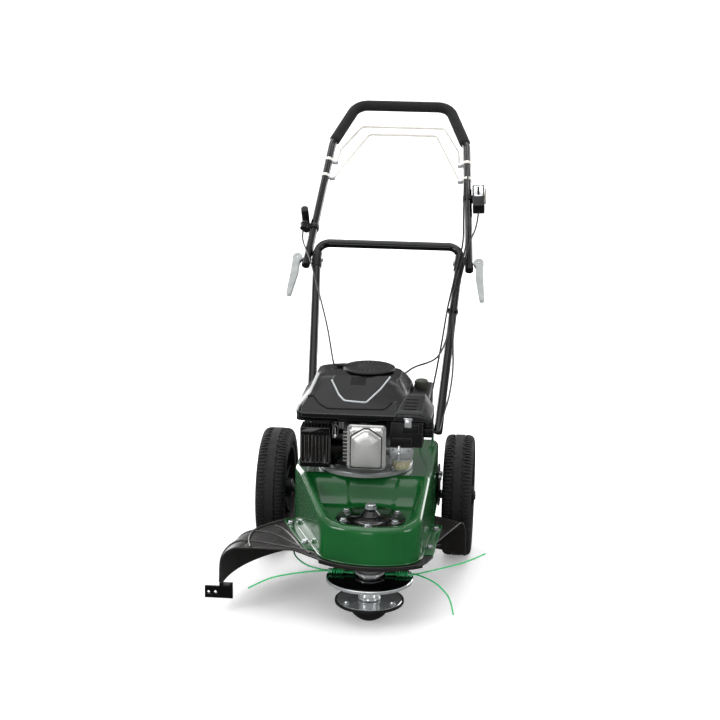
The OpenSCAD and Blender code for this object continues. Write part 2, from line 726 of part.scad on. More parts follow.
module guard() {
  run = guard_end - guard_root;
  color("#191a1b") difference() {
    union() {
      translate([0, 0, guard_top - guard_t]) linear_extrude(height = guard_t) guard_plan();
      rotate(guard_right_deg - guard_over_deg) rotate_extrude($fn = 120,
        angle = guard_left_deg - guard_right_deg + guard_over_deg) skirt_profile();
      // lip under the nose
      translate([0, 0, guard_top - lip_h]) linear_extrude(height = lip_h - guard_t / 2)
        intersection() {
          difference() {
            deck_plan(guard_step - lip_out);
            deck_plan(guard_t - lip_out);
          }
          translate([nose_x - 2 * nose_half, nose_front_y - 2 * lip_out])
            square([4 * nose_half, 2 * lip_out + nose_sag]);
        }
      // stiffening ribs on the left wing
      for (i = [0 : len(rib_shares) - 1]) rotate(guard_left_deg - rib_spans_deg[i])
        rotate_extrude(angle = rib_spans_deg[i] - guard_over_deg / 4, $fn = 120)
          translate([rib_shares[i] * guard_r, guard_top - guard_t / 2]) square([guard_t, guard_t]);
      rotate(guard_left_deg - 0.9 * rib_spans_deg[0])
        box(rib_shares[0] * guard_r + guard_t / 2, 0, guard_top - guard_t / 2,
          guard_flat_r - rib_shares[0] * guard_r - 2 * guard_t, guard_t, guard_t - guard_step);
    }
    translate([0, 0, guard_top - 2 * lip_h]) cylinder(h = 4 * lip_h, r = guard_hole_r);
    at_each(flange_bolts, guard_top - 2 * guard_t) cylinder(h = 4 * guard_t, r = bolt_r + bolt_gap);
    // straight right edge
    translate([guard_root[0], guard_root[1], 0]) rotate(atan2(run[1], run[0]))
      box(0, -guard_r, 0, guard_r, guard_r, 2 * guard_top);
    // the ribs stop where the deck's flanges begin
    for (s = [-1, 1]) translate([0, 0, guard_top + guard_step / 2]) linear_extrude(height = lip_h)
      polygon([for (y = [flange_ends[0], shoulder_y, flange_ends[1]]) [deck_side(s, y) - s * flange_w, y],
        for (y = [flange_ends[1], shoulder_y, flange_ends[0]]) [deck_side(s, y) + s * flange_w, y]]);
  }
}

module end_bracket() {
  low = skirt_z - 0.93 * tab_h;
  color("#2a2b2c") rotate(guard_left_deg - 180) difference() {
    union() {
      box(-guard_r, -tab_t, low, 0.94 * tab_l, tab_t, 1.3 * tab_h);
      box(-guard_r - tab_l, -tab_t, low, tab_l + guard_t, tab_t, tab_h);
    }
    for (s = [-1, 1]) translate([-guard_r - tab_l / 2 + s * tab_spacing / 2, cut_over, low + tab_h / 2])
      rotate([90, 0, 0]) cylinder(h = tab_t + 2 * cut_over, r = tab_hole_r);
  }
}

module at_axle() {
  translate([0, axle_y, wheel_r]) children();
}
module axle() {
  color("#8d9194") at_axle() {
    across(left_x - hub_l / 2 - body_gap - collar_t, right_x + hub_l / 2 + body_gap + collar_t, axle_r);
    for (s = [-1, 1]) {
      mid = s < 0 ? left_x : right_x;
      out = mid + s * (hub_l / 2 + body_gap);
      across(out, out + s * collar_t, axle_collar_r);
      across(deck_mid_x + s * (rear_half + bracket_t), mid - s * (hub_l / 2 + body_gap), axle_collar_r);
    }
  }
}
module axle_brackets() {
  color("#202122") for (s = [-1, 1]) let (x = deck_mid_x + s * rear_half) difference() {
    along_x(min(x, x + s * bracket_t), bracket_t) polygon([[bracket_front_y, deck_z + 0.3 * bracket_h],
      [bracket_front_y, deck_z + bracket_h], [rear_y, deck_z + bracket_h],
      [axle_y + hub_r, wheel_r + hub_r], [axle_y + hub_r, wheel_r - hub_r],
      [axle_y - hub_r, wheel_r - hub_r]]);
    at_axle() across(x - 2 * bracket_t, x + 2 * bracket_t, axle_r);
    for (y = bracket_bolt_y) translate([0, y, bracket_bolt_z])
      across(x - 2 * bracket_t, x + 2 * bracket_t, bolt_r + bolt_gap);
  }
}

module wheel_rim(x) {
  color("#17181a") at_axle() translate([x, 0, 0]) rotate([0, 90, 0]) difference() {
    union() {
      translate([0, 0, -0.4 * tyre_w]) tube(rim_r, rim_r - rim_t, 0.8 * tyre_w);
      translate([0, 0, -hub_l / 2]) cylinder(h = hub_l, r = hub_r);
      for (i = [0 : spoke_count - 1]) rotate(360 * i / spoke_count)
        translate([0, -spoke_t / 2, -0.2 * tyre_w])
          cube([rim_r - rim_t / 2, spoke_t, 0.4 * tyre_w]);
    }
    translate([0, 0, -hub_l]) cylinder(h = 2 * hub_l, r = axle_r + run_fit);
  }
}
module wheel_tyre(x) {
  color("#111213") at_axle() translate([x, 0, 0]) rotate([0, 90, 0])
    rotate_extrude($fn = 120) polygon([for (p = tyre_shares)
      [rim_r + p[1] * (wheel_r - rim_r), p[0] * tyre_w]]);
}
module left_rim() { wheel_rim(left_x); }
module left_tyre() { wheel_tyre(left_x); }
module right_rim() { wheel_rim(right_x); }
module right_tyre() { wheel_tyre(right_x); }

module spindle_housing() {
  top = nose_z - sheet;
  color("#5d6164") difference() {
    union() {
      translate([0, 0, top - housing_t]) cylinder(h = housing_t, r = cover_r);
      translate([0, 0, housing_low]) cylinder(h = top - housing_low, r = housing_r);
    }
    translate([0, 0, housing_low - cut_over])
      cylinder(h = top - housing_cap - housing_low + cut_over, r = spindle_r + run_fit);
    at_each(cover_bolts, top - 2 * housing_t) cylinder(h = 4 * housing_t, r = bolt_r + bolt_gap);
  }
}
module spindle_cover() {
  color("#151617") difference() {
    union() {
      translate([0, 0, nose_z]) cylinder(h = cover_t, r = cover_r);
      translate([0, 0, nose_z]) cylinder(h = cover_t + dish_t, r = dish_r);
    }
    at_each(cover_bolts, nose_z - cover_t) cylinder(h = 4 * cover_t, r = bolt_r + bolt_gap);
    at_each(cover_bolts, nose_z + cover_t) cylinder(h = 2 * dish_t, r = washer_r + body_gap);
  }
}

module at_crank(z) {
  translate([crank_x, crank_y, z]) children();
}
module engine_block() {
  pitch = (crank_y - case_r - valve_back_y) / (fin_count - 1);
  color("#8f9294") difference() {
    union() {
      at_crank(plate_z) cylinder(h = base_t, r = base_r);
      at_crank(base_top) cylinder(h = case_top - base_top, r = case_r);
      box(cyl_x - core_half, valve_back_y, cyl_z - core_half_h, 2 * core_half, crank_y - valve_back_y,
        2 * core_half_h);
      for (i = [0 : fin_count - 1])
        box(cyl_x - fin_half, valve_back_y + i * max(pitch, 2 * fin_t), cyl_z - fin_half_h, 2 * fin_half,
          fin_t, 2 * fin_half_h);
      // intake stub towards the carburettor
      translate([0, carb_mid[1], carb_mid[2]]) across(cyl_x, air_x0, intake_r);
    }
    at_crank(plate_z - cut_over) cylinder(h = case_top - plate_z + 2 * cut_over, r = crank_r + run_fit);
    at_each(base_bolts, plate_z - base_t) cylinder(h = 3 * base_t, r = bolt_r + bolt_gap);
  }
}
carb_mid = [air_x0 + carb_w / 2, air_y0 + carb_l / 2, carb_z0 + carb_h / 2];

valve_screws = [for (sx = [-1, 1], sz = [-1, 1])
  [cyl_x + sx * screw_shares[0] * valve_half_w, cyl_z + sz * screw_shares[1] * valve_half_h]];
module valve_cover() {
  color("#b4b6b7") difference() {
    union() {
      box(cyl_x - valve_half_w, valve_front_y + valve_panel_t, cyl_z - valve_half_h, 2 * valve_half_w,
        valve_t - valve_panel_t, 2 * valve_half_h);
      along_y(valve_front_y, 2 * valve_panel_t) polygon([for (p = valve_panel_shares)
        [cyl_x + p[0] * valve_half_w, cyl_z + p[1] * valve_half_h]]);
    }
    for (p = valve_screws) translate([p[0], valve_back_y + cut_over, p[1]]) rotate([90, 0, 0])
      cylinder(h = valve_t + 2 * cut_over, r = screw_r + bolt_gap);
  }
}
module cover_screws() {
  color("#c3c5c7") for (p = valve_screws)
    translate([p[0], valve_front_y + valve_panel_t, p[1]]) rotate([90, 0, 0])
      bolt(screw_r, valve_t - valve_panel_t);
}

// closed form of the shroud, with an even inset
module shroud_form(inset) {
  w = shroud_w - 2 * inset;
  l = shroud_l - 2 * inset;
  h = shroud_h - inset;
  intersection() {
    along_y(shroud_front_y, shroud_l) polygon([for (p = shroud_front_shares)
      [shroud_left_x + inset + p[0] * w, shroud_z + p[1] * h]]);
    along_x(shroud_left_x, shroud_w) polygon([for (p = shroud_side_shares)
      [shroud_front_y + inset + p[0] * l, shroud_z + p[1] * h]]);
  }
}
module blower_shroud() {
  color("#36383b") difference() {
    shroud_form(0);
    difference() {
      shroud_form(cover_wall);
      box(shroud_left_x, shroud_front_y, shroud_z - cut_over, shroud_w, shroud_l, cover_wall + cut_over);
    }
    at_crank(shroud_z - cut_over) cylinder(h = cover_wall + 2 * cut_over, r = case_r);
    // room for the air cleaner
    box(air_x0 - recess_gap, shroud_front_y - cut_over, shroud_z - cut_over, shroud_w,
      air_l + recess_gap + cut_over, air_rise + air_h + recess_gap + cut_over);
  }
}
module recoil_cover() {
  color("#1d1e20") translate([crank_x, recoil_y, shroud_top]) {
    cylinder(h = recoil_h, r = recoil_r);
    translate([0, 0, recoil_h / 2]) across(-recoil_r - outlet_l, -recoil_r / 2, outlet_r);
  }
}

module fuel_tank() {
  color("#26282a") difference() {
    union() {
      box(shroud_right_x, tank_y0, tank_z0, tank_w, tank_l, tank_h);
      translate([neck_x, neck_y, tank_z0 + tank_h / 2]) cylinder(h = tank_h / 2 + neck_h, r = neck_r);
    }
    box(shroud_right_x + cover_wall, tank_y0 + cover_wall, tank_z0 + cover_wall, tank_w - 2 * cover_wall,
      tank_l - 2 * cover_wall, tank_h - 2 * cover_wall);
    translate([neck_x, neck_y, tank_z0 + tank_h / 2]) cylinder(h = tank_h, r = neck_r - cover_wall);
  }
}
module fuel_cap() {
  color("#4c5148") translate([neck_x, neck_y, tank_z0 + tank_h + body_gap]) difference() {
    cylinder(h = fuel_cap_h, r = fuel_cap_r);
    translate([0, 0, -cut_over]) cylinder(h = neck_h + cut_over, r = neck_r + body_gap);
  }
}
module air_box() {
  color("#161718") difference() {
    box(air_x0 + air_box_inset, air_y0 + air_box_inset, air_z0 - air_box_h, air_w - 2 * air_box_inset,
      air_l - 2 * air_box_inset, air_box_h);
    box(air_x0 + air_box_inset + cover_wall, air_y0 + air_box_inset + cover_wall,
      air_z0 - air_box_h + cover_wall, air_w - 2 * (air_box_inset + cover_wall),
      air_l - 2 * (air_box_inset + cover_wall), air_box_h);
  }
}
module air_form(inset, drop) {
  along_y(air_y0 + inset, air_l - 2 * inset) polygon([for (p = air_shares)
    [air_x0 + inset + p[0] * (air_w - 2 * inset), air_z0 - drop + p[1] * (air_h - inset + drop)]]);
}
module air_cleaner_cover() {
  color("#1f2022") difference() {
    air_form(0, 0);
    air_form(cover_wall, cut_over);
  }
}
module carburettor() {
  color("#9a9d9f") box(air_x0, air_y0, carb_z0, carb_w, carb_l, carb_h);
}
module carb_bowl() {
  color("#a8975c") translate([carb_mid[0], carb_mid[1], carb_z0 - bowl_h]) {
    cylinder(h = bowl_h, r = bowl_r);
  }
}
module muffler() {
  color("#3a3836") difference() {
    union() {
      box(muffler_x0, muffler_y0, muffler_z0, muffler_w, muffler_l, muffler_h);
      at_port() across(muffler_x0 + muffler_w / 2, cyl_x - fin_half, pipe_r);
    }
    box(muffler_x0 + muffler_wall, muffler_y0 + muffler_wall, muffler_z0 + muffler_wall,
      muffler_w - 2 * muffler_wall, muffler_l - 2 * muffler_wall, muffler_h - 2 * muffler_wall);
    at_port() across(muffler_x0 + muffler_w / 2, cyl_x - fin_half + cut_over, pipe_r - muffler_wall);
  }
}
module at_port() {
  translate([0, muffler_y0 + 0.17 * muffler_l, cyl_z - 0.5 * fin_half_h]) children();
}
module muffler_guard() {
  depth = 0.5 * muffler_l;
  pitch = muffler_w / slot_count;
  color("#141516") difference() {
    box(muffler_x0 - muffler_wall, muffler_y0 - muffler_wall, muffler_z0 - muffler_wall,
      muffler_w + muffler_wall, depth + muffler_wall, muffler_h + 2 * muffler_wall);
    box(muffler_x0, muffler_y0, muffler_z0, muffler_w + cut_over, depth + cut_over, muffler_h);
    for (i = [0 : slot_count - 1])
      box(muffler_x0 + (i + 0.25) * pitch, muffler_y0 - 2 * muffler_wall, muffler_z0 + 0.12 * muffler_h,
        0.4 * pitch, 3 * muffler_wall, 0.7 * muffler_h);
  }
}
module spark_plug() {
  color("#d8d8d4") translate([0, plug_y, plug_z]) {
    across(cyl_x - fin_half - plug_l, cyl_x - fin_half, 0.7 * plug_r);
    across(cyl_x - fin_half - 0.3 * plug_l, cyl_x - fin_half, plug_r);
  }
}
module plug_lead() { color("#1a1a1a") cord(lead_route, lead_r, 4, [0, 1, 0]); }

module pulley(r, bore_r) {
  difference() {
    translate([0, 0, belt_z - pulley_h / 2]) tube(r, bore_r, pulley_h);
    translate([0, 0, belt_z - groove_w / 2]) tube(r + cut_over, r - groove_d, groove_w);
  }
}
module crankshaft() {
  low = belt_z - pulley_h / 2 - shaft_end;
  color("#a5a8aa") at_crank(low) cylinder(h = case_top + crank_up - low, r = crank_r);
}
module flywheel() {
  color("#6f7375") at_crank(case_top + fly_lift) tube(fly_r, crank_r, fly_h);
}
module engine_pulley() {
  color("#7d8183") at_crank(0) pulley(drive_pulley_r, crank_r);
}
// outline round both pulleys, between their outer tangents
module belt_area(grow) {
  c = [crank_x, crank_y];
  r0 = spindle_groove_r + belt_gap + grow;
  r1 = drive_groove_r + belt_gap + grow;
  lean = acos((r0 - r1) / norm(c));
  a = atan2(c[1], c[0]);
  steps = 24;
  polygon([
    for (i = [0 : steps]) let (t = lerp(a + lean, a + 360 - lean, i / steps)) r0 * [cos(t), sin(t)],
    for (i = [0 : steps]) let (t = lerp(a - lean, a + lean, i / steps)) c + r1 * [cos(t), sin(t)]]);
}
module drive_belt() {
  color("#232323") translate([0, 0, belt_z - belt_w / 2]) linear_extrude(height = belt_w) difference() {
    belt_area(belt_t);
    belt_area(0);
  }
}
module idler_arm() {
  run = idler_at - idler_pivot;
  low = belt_z - idler_h / 2 - 2 * body_gap - arm_t;
  color("#9a9d9f") difference() {
    union() {
      translate([idler_pivot[0], idler_pivot[1], arm_z]) cylinder(h = 1.2 * arm_t, r = 1.6 * idler_pin_r);
      translate([idler_pivot[0], idler_pivot[1], arm_z]) rotate(atan2(run[1], run[0]))
        box(0, -arm_half, 0.1 * arm_t, norm(run) + arm_half, 2 * arm_half, 0.9 * arm_t);
      translate([idler_at[0], idler_at[1], low]) cylinder(h = arm_z - low + arm_t / 2, r = idler_pin_r);
      translate([idler_at[0], idler_at[1], low]) cylinder(h = arm_t, r = 1.3 * idler_pin_r);
    }
    translate([idler_pivot[0], idler_pivot[1], arm_z - cut_over])
      cylinder(h = 1.2 * arm_t + 2 * cut_over, r = idler_pin_r + run_fit);
  }
}
module idler_pulley() {
  color("#2b2d2f") translate([idler_at[0], idler_at[1], belt_z - idler_h / 2])
    tube(idler_r, idler_pin_r + run_fit, idler_h);
}

module spindle() {
  low = foot_low - body_gap - nut_h;
  top = nose_z - sheet - housing_cap - 2 * body_gap;
  color("#a9acae") {
    translate([0, 0, low]) cylinder(h = top - low, r = spindle_r);
    translate([0, 0, low]) cylinder(h = nut_h, r = nut_r, $fn = 6);
    translate([0, 0, foot_z + body_gap]) cylinder(h = disc_low - foot_z - body_gap, r = collar_r);
  }
}
module spindle_pulley() { color("#7d8183") pulley(spindle_pulley_r, spindle_r); }
module line_hub() {
  top = belt_z - pulley_h / 2;
  color("#c2c4c6") {
    translate([0, 0, disc_z]) tube(line_hub_r, spindle_r, line_hub_h);
    translate([0, 0, disc_z]) tube(collar_r, spindle_r, top - disc_z);
  }
}
module line_disc() {
  color("#1b1c1d") {
    translate([0, 0, disc_low]) tube(disc_r, spindle_r, disc_t);
    translate([0, 0, rim_low]) tube(disc_r, disc_r - disc_t, disc_rim);
  }
}
module line_eyelets() {
  color("#d0d2d3") for (s = [-1, 1]) translate([s * eyelet_ring, 0, disc_z + eyelet_r])
    rotate([0, 90, 0]) translate([0, 0, -eyelet_l / 2]) tube(eyelet_r, eyelet_bore, eyelet_l);
}
module trimmer_lines() {
  color("#2fae5a") for (route = line_routes) cord(route, line_r, 3, [0, 0, 1]);
}
foot_bolt_places = [for (i = [0 : foot_bolt_count - 1]) let (a = 215 + 360 * i / foot_bolt_count)
  foot_bolt_ring * [cos(a), sin(a)]];
module foot_disc() {
  color("#b2b5b8") difference() {
    translate([0, 0, foot_low]) tube(foot_r, spindle_r + run_fit, foot_t);
    at_each(foot_bolt_places, foot_low - foot_t) cylinder(h = 3 * foot_t, r = foot_bolt_r + bolt_gap);
  }
}
module foot_cup() {
  rim_z = foot_z - cup_rim_h;
  neck = sqrt(ball_r * ball_r - pow(ball_z - rim_z + cup_cone_h, 2));
  color("#121314") difference() {
    union() {
      intersection() {
        translate([0, 0, ball_z]) sphere(r = ball_r, $fn = 96);
        cylinder(h = rim_z + cup_rim_h / 4, r = ball_r);
      }
      translate([0, 0, rim_z - cup_cone_h]) cylinder(h = cup_cone_h, r1 = 0.9 * neck, r2 = cup_r);
      translate([0, 0, rim_z]) cylinder(h = cup_rim_h, r = cup_r);
    }
    translate([0, 0, foot_low]) cylinder(h = 2 * foot_t, r = foot_r);
    translate([0, 0, foot_low - 2 * nut_h]) cylinder(h = 2 * nut_h + cut_over, r = 1.3 * nut_r);
    at_each(foot_bolt_places, foot_low - foot_bolt_l)
      cylinder(h = 2 * foot_bolt_l, r = foot_bolt_r + bolt_gap);
  }
}
module foot_bolts() {
  color("#c3c5c7") at_each(foot_bolt_places, foot_z) bolt(foot_bolt_r, 0.8 * foot_bolt_l);
}

lower_path = [[-lower_end_half, -lower_l], [-corner_half, crossbar_v], [corner_half, crossbar_v],
  [lower_end_half, -lower_l]];
upper_path = [[-upper_foot_half, -upper_tail], [-knee_half, knee_v], [-top_half, upper_l],
  [top_half, upper_l], [knee_half, knee_v], [upper_foot_half, -upper_tail]];
// path whose two ends run on past their places
function longer(p, over) = let (m = len(p)) [for (i = [0 : m - 1])
  i == 0 ? p[0] + over * unit(p[0] - p[1]) : i == m - 1 ? p[i] + over * unit(p[i] - p[i - 1]) : p[i]];
// tube: bored along its straights
module bent_tube(p, bend_r) {
  difference() {
    bent_bar(p, bend_r, tube_r);
    straights(longer(p, cut_over), bend_r, tube_r - tube_wall);
  }
}

module lower_handle() {
  color("#1a1b1c") difference() {
    lower() bent_tube(lower_path, lower_bend_r);
    lower() across(-fold_half, fold_half, clamp_r);
    translate([body_mid_x, end_y, end_z]) across(-fold_half, fold_half, bolt_r + bolt_gap);
  }
}
module clamp_bolts() {
  head_u = lower_half - tube_r - lower_lean - clamp_head_h;
  color("#c0c2c4") lower() for (s = [-1, 1]) mirror([s < 0 ? 1 : 0, 0, 0]) {
    across(head_u, lever_x, clamp_r);
    across(head_u, head_u + clamp_head_h, clamp_head_r);
    across(lower_half + tube_r + lower_lean, fold_half - tube_r - upper_lean - body_gap, clamp_head_r);
    translate([lever_x, 0, -eye_half_t]) cylinder(h = 2 * eye_half_t, r = 2 * cross_pin_r);
    translate([lever_x, 0, -lever_half_t]) cylinder(h = 2 * lever_half_t, r = cross_pin_r);
  }
}
// cam lever at the outer end of a clamp bolt
module cam_lever(s) {
  color("#d9dad8") lower() mirror([s < 0 ? 1 : 0, 0, 0]) translate([lever_x, 0, 0]) difference() {
    translate([0, 0, -lever_half_t]) union() {
      cylinder(h = 2 * lever_half_t, r = lever_head_r);
      linear_extrude(height = 2 * lever_half_t)
        polygon([for (p = lever_shares) [p[0] * lever_head_r, p[1] * lever_l]]);
    }
    translate([0, 0, -eye_half_t - body_gap]) linear_extrude(height = 2 * (eye_half_t + body_gap))
      translate([-2 * lever_head_r, -lever_head_r]) square(4 * lever_head_r);
    translate([0, 0, -2 * lever_half_t]) cylinder(h = 4 * lever_half_t, r = cross_pin_r + run_fit);
  }
}
module left_lever() { cam_lever(-1); }
module right_lever() { cam_lever(1); }

module upper_handle() {
  color("#161718") upper() difference() {
    bent_tube(upper_path, upper_bend_r);
    across(-fold_half - 2 * tube_r, fold_half + 2 * tube_r, clamp_r + run_fit);
    for (v = [brake_v, drive_v]) translate([0, v, -bail_drop]) across(-leg_u(v), leg_u(v), wire_r + run_fit);
  }
}
module grip() {
  start = lerp([knee_half, knee_v], [top_half, upper_l], grip_start_share);
  path = [[-start[0], start[1]], [-top_half, upper_l], [top_half, upper_l], start];
  color("#0f0f10") upper() difference() {
    bent_bar(path, upper_bend_r, grip_r);
    bent_bar(longer(path, cut_over), upper_bend_r, tube_r + run_fit);
  }
}
// wire bail pivoted in the legs at height v; path goes from its right bend to the crossbar
module bail(v, hang_deg, path) {
  pin = leg_u(v) - tube_r + pin_in;
  turn = leg_u(v) - tube_r - bail_in;
  right = concat([[pin, 0], [turn, 0]], path);
  n = len(right);
  upper() translate([0, v, -bail_drop]) rotate([-hang_deg, 0, 0])
    bent_bar(concat([for (p = right) [-p[0], p[1]]], [for (i = [n - 1 : -1 : 0]) right[i]]),
      bail_bend_r, wire_r);
}
module brake_bail() {
  color("#cfd1d3") bail(brake_v, brake_hang_deg, [[knee_half - nest_slant_share * nest, knee_v - brake_v],
    [top_half - nest_top_share * nest, upper_l - nest - brake_v]]);
}
module drive_bail() {
  color("#cfd1d3") bail(drive_v, drive_hang_deg,
    [[drive_top_share * top_half, upper_l - drive_nest_share * nest - drive_v]]);
}

module throttle_box() {
  color("#1a1b1d") on_leg(1, throttle_v) difference() {
    union() {
      rotate([-90, 0, 0]) translate([0, 0, -ring_w / 2]) cylinder(h = ring_w, r = tube_r + ring_t);
      box(box_x, -box_l / 2, -box_h / 2, box_w, box_l, box_h);
    }
    rotate([-90, 0, 0]) translate([0, 0, -box_l]) cylinder(h = 2 * box_l, r = tube_r + run_fit);
    across(box_x + box_w - throttle_pin_l - body_gap, box_x + box_w + cut_over, throttle_pin_r + run_fit);
  }
}
module throttle_lever() {
  face = box_x + box_w + body_gap;
  color("#c9cbcd") on_leg(1, throttle_v) {
    across(face - throttle_pin_l, face + paddle_t, throttle_pin_r);
    across(face, face + paddle_t, paddle_r);
    box(face, -0.4 * paddle_r, 0, paddle_t, 0.8 * paddle_r, paddle_l);
  }
}
module rope_guide() {
  color("#1c1d1e") on_leg(-1, guide_v) difference() {
    union() {
      rotate([-90, 0, 0]) translate([0, 0, -guide_h / 2]) cylinder(h = guide_h, r = tube_r + ring_t);
      box(0, -guide_h / 2, -guide_r / 2, guide_x, guide_h, guide_r);
      translate([guide_x, 0, 0]) rotate([-90, 0, 0]) translate([0, 0, -guide_h / 2])
        cylinder(h = guide_h, r = guide_r);
    }
    rotate([-90, 0, 0]) translate([0, 0, -guide_h]) cylinder(h = 2 * guide_h, r = tube_r + run_fit);
    translate([guide_x, 0, 0]) rotate([-90, 0, 0]) translate([0, 0, -guide_h])
      cylinder(h = 2 * guide_h, r = rope_r + rope_play);
  }
}
module starter_grip() {
  color("#131415") on_leg(-1, guide_v) translate([guide_x, guide_h / 2 + body_gap, 0]) {
    rotate([-90, 0, 0]) {
      cylinder(h = stem_flange_h, r = stem_flange_r);
      cylinder(h = stem_h, r = stem_r);
    }
    translate([0, stem_h, -starter_l / 2]) cylinder(h = starter_l, r = bar_r);
  }
}

module starter_rope() { color("#20211f") cord(rope_route, rope_r, 4, [1, 0, 0]); }
module throttle_cable() { color("#151515") cord(throttle_route, cable_r, 3, [1, 0, 0]); }
module brake_cable() { color("#151515") cord(brake_route, cable_r, 3, [1, 0, 0]); }
module drive_cable() { color("#151515") cord(drive_route, cable_r, 3, [1, 0, 0]); }
module cable_ties() {
  v = -tie_share * lower_l;
  color("#0e0e0e") lower() translate([lerp(lower_half, lower_end_half, tie_share), v, 0])
    rotate(-lower_slope) difference() {
      union() {
        rotate([-90, 0, 0]) translate([0, 0, -tie_w / 2]) cylinder(h = tie_w, r = tube_r + tie_t);
        box(-tie_block_w / 2, -tie_w / 2, 0, tie_block_w, tie_w, tube_r + tie_block_h);
      }
      rotate([-90, 0, 0]) translate([0, 0, -tie_w]) cylinder(h = 2 * tie_w, r = tube_r + run_fit);
    }
}

deck();
deck_bolts();
guard();
end_bracket();
axle();
axle_brackets();
spindle_housing();
spindle_cover();
engine_block();
valve_cover();
cover_screws();
blower_shroud();
recoil_cover();
fuel_tank();
fuel_cap();
air_box();
air_cleaner_cover();
carburettor();
carb_bowl();
muffler();
muffler_guard();
spark_plug();
plug_lead();
crankshaft();
flywheel();
engine_pulley();
drive_belt();
idler_arm();
idler_pulley();
spindle();
spindle_pulley();
line_hub();
line_disc();
line_eyelets();
trimmer_lines();
foot_disc();
foot_cup();
foot_bolts();
left_rim();
left_tyre();
right_rim();
right_tyre();
lower_handle();
clamp_bolts();
left_lever();
right_lever();
upper_handle();
grip();
brake_bail();
drive_bail();
throttle_box();
throttle_lever();
rope_guide();
starter_grip();
starter_rope();
throttle_cable();
brake_cable();
drive_cable();
cable_ties();
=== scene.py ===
import math
from math import cos, pi, radians, sin
import bpy
import bmesh
from mathutils import Matrix, Vector
from mathutils.geometry import delaunay_2d_cdt


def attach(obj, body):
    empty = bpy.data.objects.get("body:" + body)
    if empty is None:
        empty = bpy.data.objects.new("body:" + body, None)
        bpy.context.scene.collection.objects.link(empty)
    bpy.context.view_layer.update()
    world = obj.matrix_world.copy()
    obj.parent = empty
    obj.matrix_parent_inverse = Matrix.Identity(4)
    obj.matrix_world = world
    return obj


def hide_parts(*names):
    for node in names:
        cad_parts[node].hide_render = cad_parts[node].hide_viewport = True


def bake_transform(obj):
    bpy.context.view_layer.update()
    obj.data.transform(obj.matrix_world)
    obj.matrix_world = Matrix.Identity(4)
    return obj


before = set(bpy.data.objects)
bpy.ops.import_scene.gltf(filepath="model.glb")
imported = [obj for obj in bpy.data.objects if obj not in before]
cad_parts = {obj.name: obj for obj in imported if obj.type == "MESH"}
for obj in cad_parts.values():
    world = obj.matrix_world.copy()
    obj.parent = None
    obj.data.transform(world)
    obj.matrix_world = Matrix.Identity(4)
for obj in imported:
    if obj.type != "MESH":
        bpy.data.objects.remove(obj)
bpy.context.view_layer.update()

mm = 0.001
scene = bpy.context.scene


# photo camera, fitted on the wheels, deck and handle
photo = dict(at=(342, -3937, 1610), turn=4.97, pitch=14.02, roll=0.88, lens=91.2, shift=(-0.0179, -0.0039))
a, p, q = (radians(photo[k]) for k in ("turn", "pitch", "roll"))
look = Vector((-sin(a) * cos(p), cos(a) * cos(p), -sin(p)))
right = Vector((cos(a), sin(a), 0))
up = right.cross(look)
right, up = cos(q) * right + sin(q) * up, cos(q) * up - sin(q) * right
lens = bpy.data.cameras.new("photo camera")
lens.lens, lens.sensor_width, lens.clip_end = photo["lens"], 36, 50
lens.shift_x, lens.shift_y = photo["shift"]
camera = bpy.data.objects.new("photo camera", lens)
turned = Matrix((right, up, -look)).transposed().to_4x4()
camera.matrix_world = Matrix.Translation(Vector(photo["at"]) * mm) @ turned
scene.collection.objects.link(camera)
scene.camera = camera
print("camera placed")


def linear(hexText):
    parts = [int(hexText[i:i + 2], 16) / 255 for i in (1, 3, 5)]
    return tuple(c / 12.92 if c <= 0.04045 else ((c + 0.055) / 1.055) ** 2.4 for c in parts) + (1.0,)


def addNode(tree, kind, inputs=None, **settings):
    made = tree.nodes.new(kind)
    for key, value in settings.items():
        setattr(made, key, value)
    for key, value in (inputs or {}).items():
        if isinstance(value, bpy.types.NodeSocket):
            tree.links.new(value, made.inputs[key])
        else:
            made.inputs[key].default_value = value
    return made


# patch and grain are the sizes of the blotches and of the bump, depth its height, all in mm
def surface(name, base, second, rough, patch, grain, depth, cells=False, **sockets):
    material = bpy.data.materials.new(name)
    material.use_nodes = True
    tree = material.node_tree
    shader = tree.nodes["Principled BSDF"]
    where = addNode(tree, "ShaderNodeTexCoord").outputs["Object"]
    blotch = addNode(tree, "ShaderNodeTexNoise", {"Vector": where, "Scale": 1000 / patch,
                                                  "Detail": 6.0}).outputs[0]
    share = addNode(tree, "ShaderNodeMapRange", {"Value": blotch, "From Min": 0.32,
                                                 "From Max": 0.68}).outputs[0]
    tint = addNode(tree, "ShaderNodeMix", {0: share, 6: linear(base), 7: linear(second)}, data_type="RGBA")
    dull = addNode(tree, "ShaderNodeMapRange", {"Value": share, "To Min": rough[0], "To Max": rough[1]})
    kind = "ShaderNodeTexVoronoi" if cells else "ShaderNodeTexNoise"
    fine = addNode(tree, kind, {"Vector": where, "Scale": 1000 / grain}).outputs[0]
    bump = addNode(tree, "ShaderNodeBump", {"Height": fine, "Distance": depth * mm, "Strength": 1.0})
    driven = {"Base Color": tint.outputs[2], "Roughness": dull.outputs[0], "Normal": bump.outputs[0]}
    for socket, value in driven.items():
        tree.links.new(value, shader.inputs[socket])
    for key, value in sockets.items():
        shader.inputs[key.replace("_", " ")].default_value = value
    material.diffuse_color = linear(base)
    return material


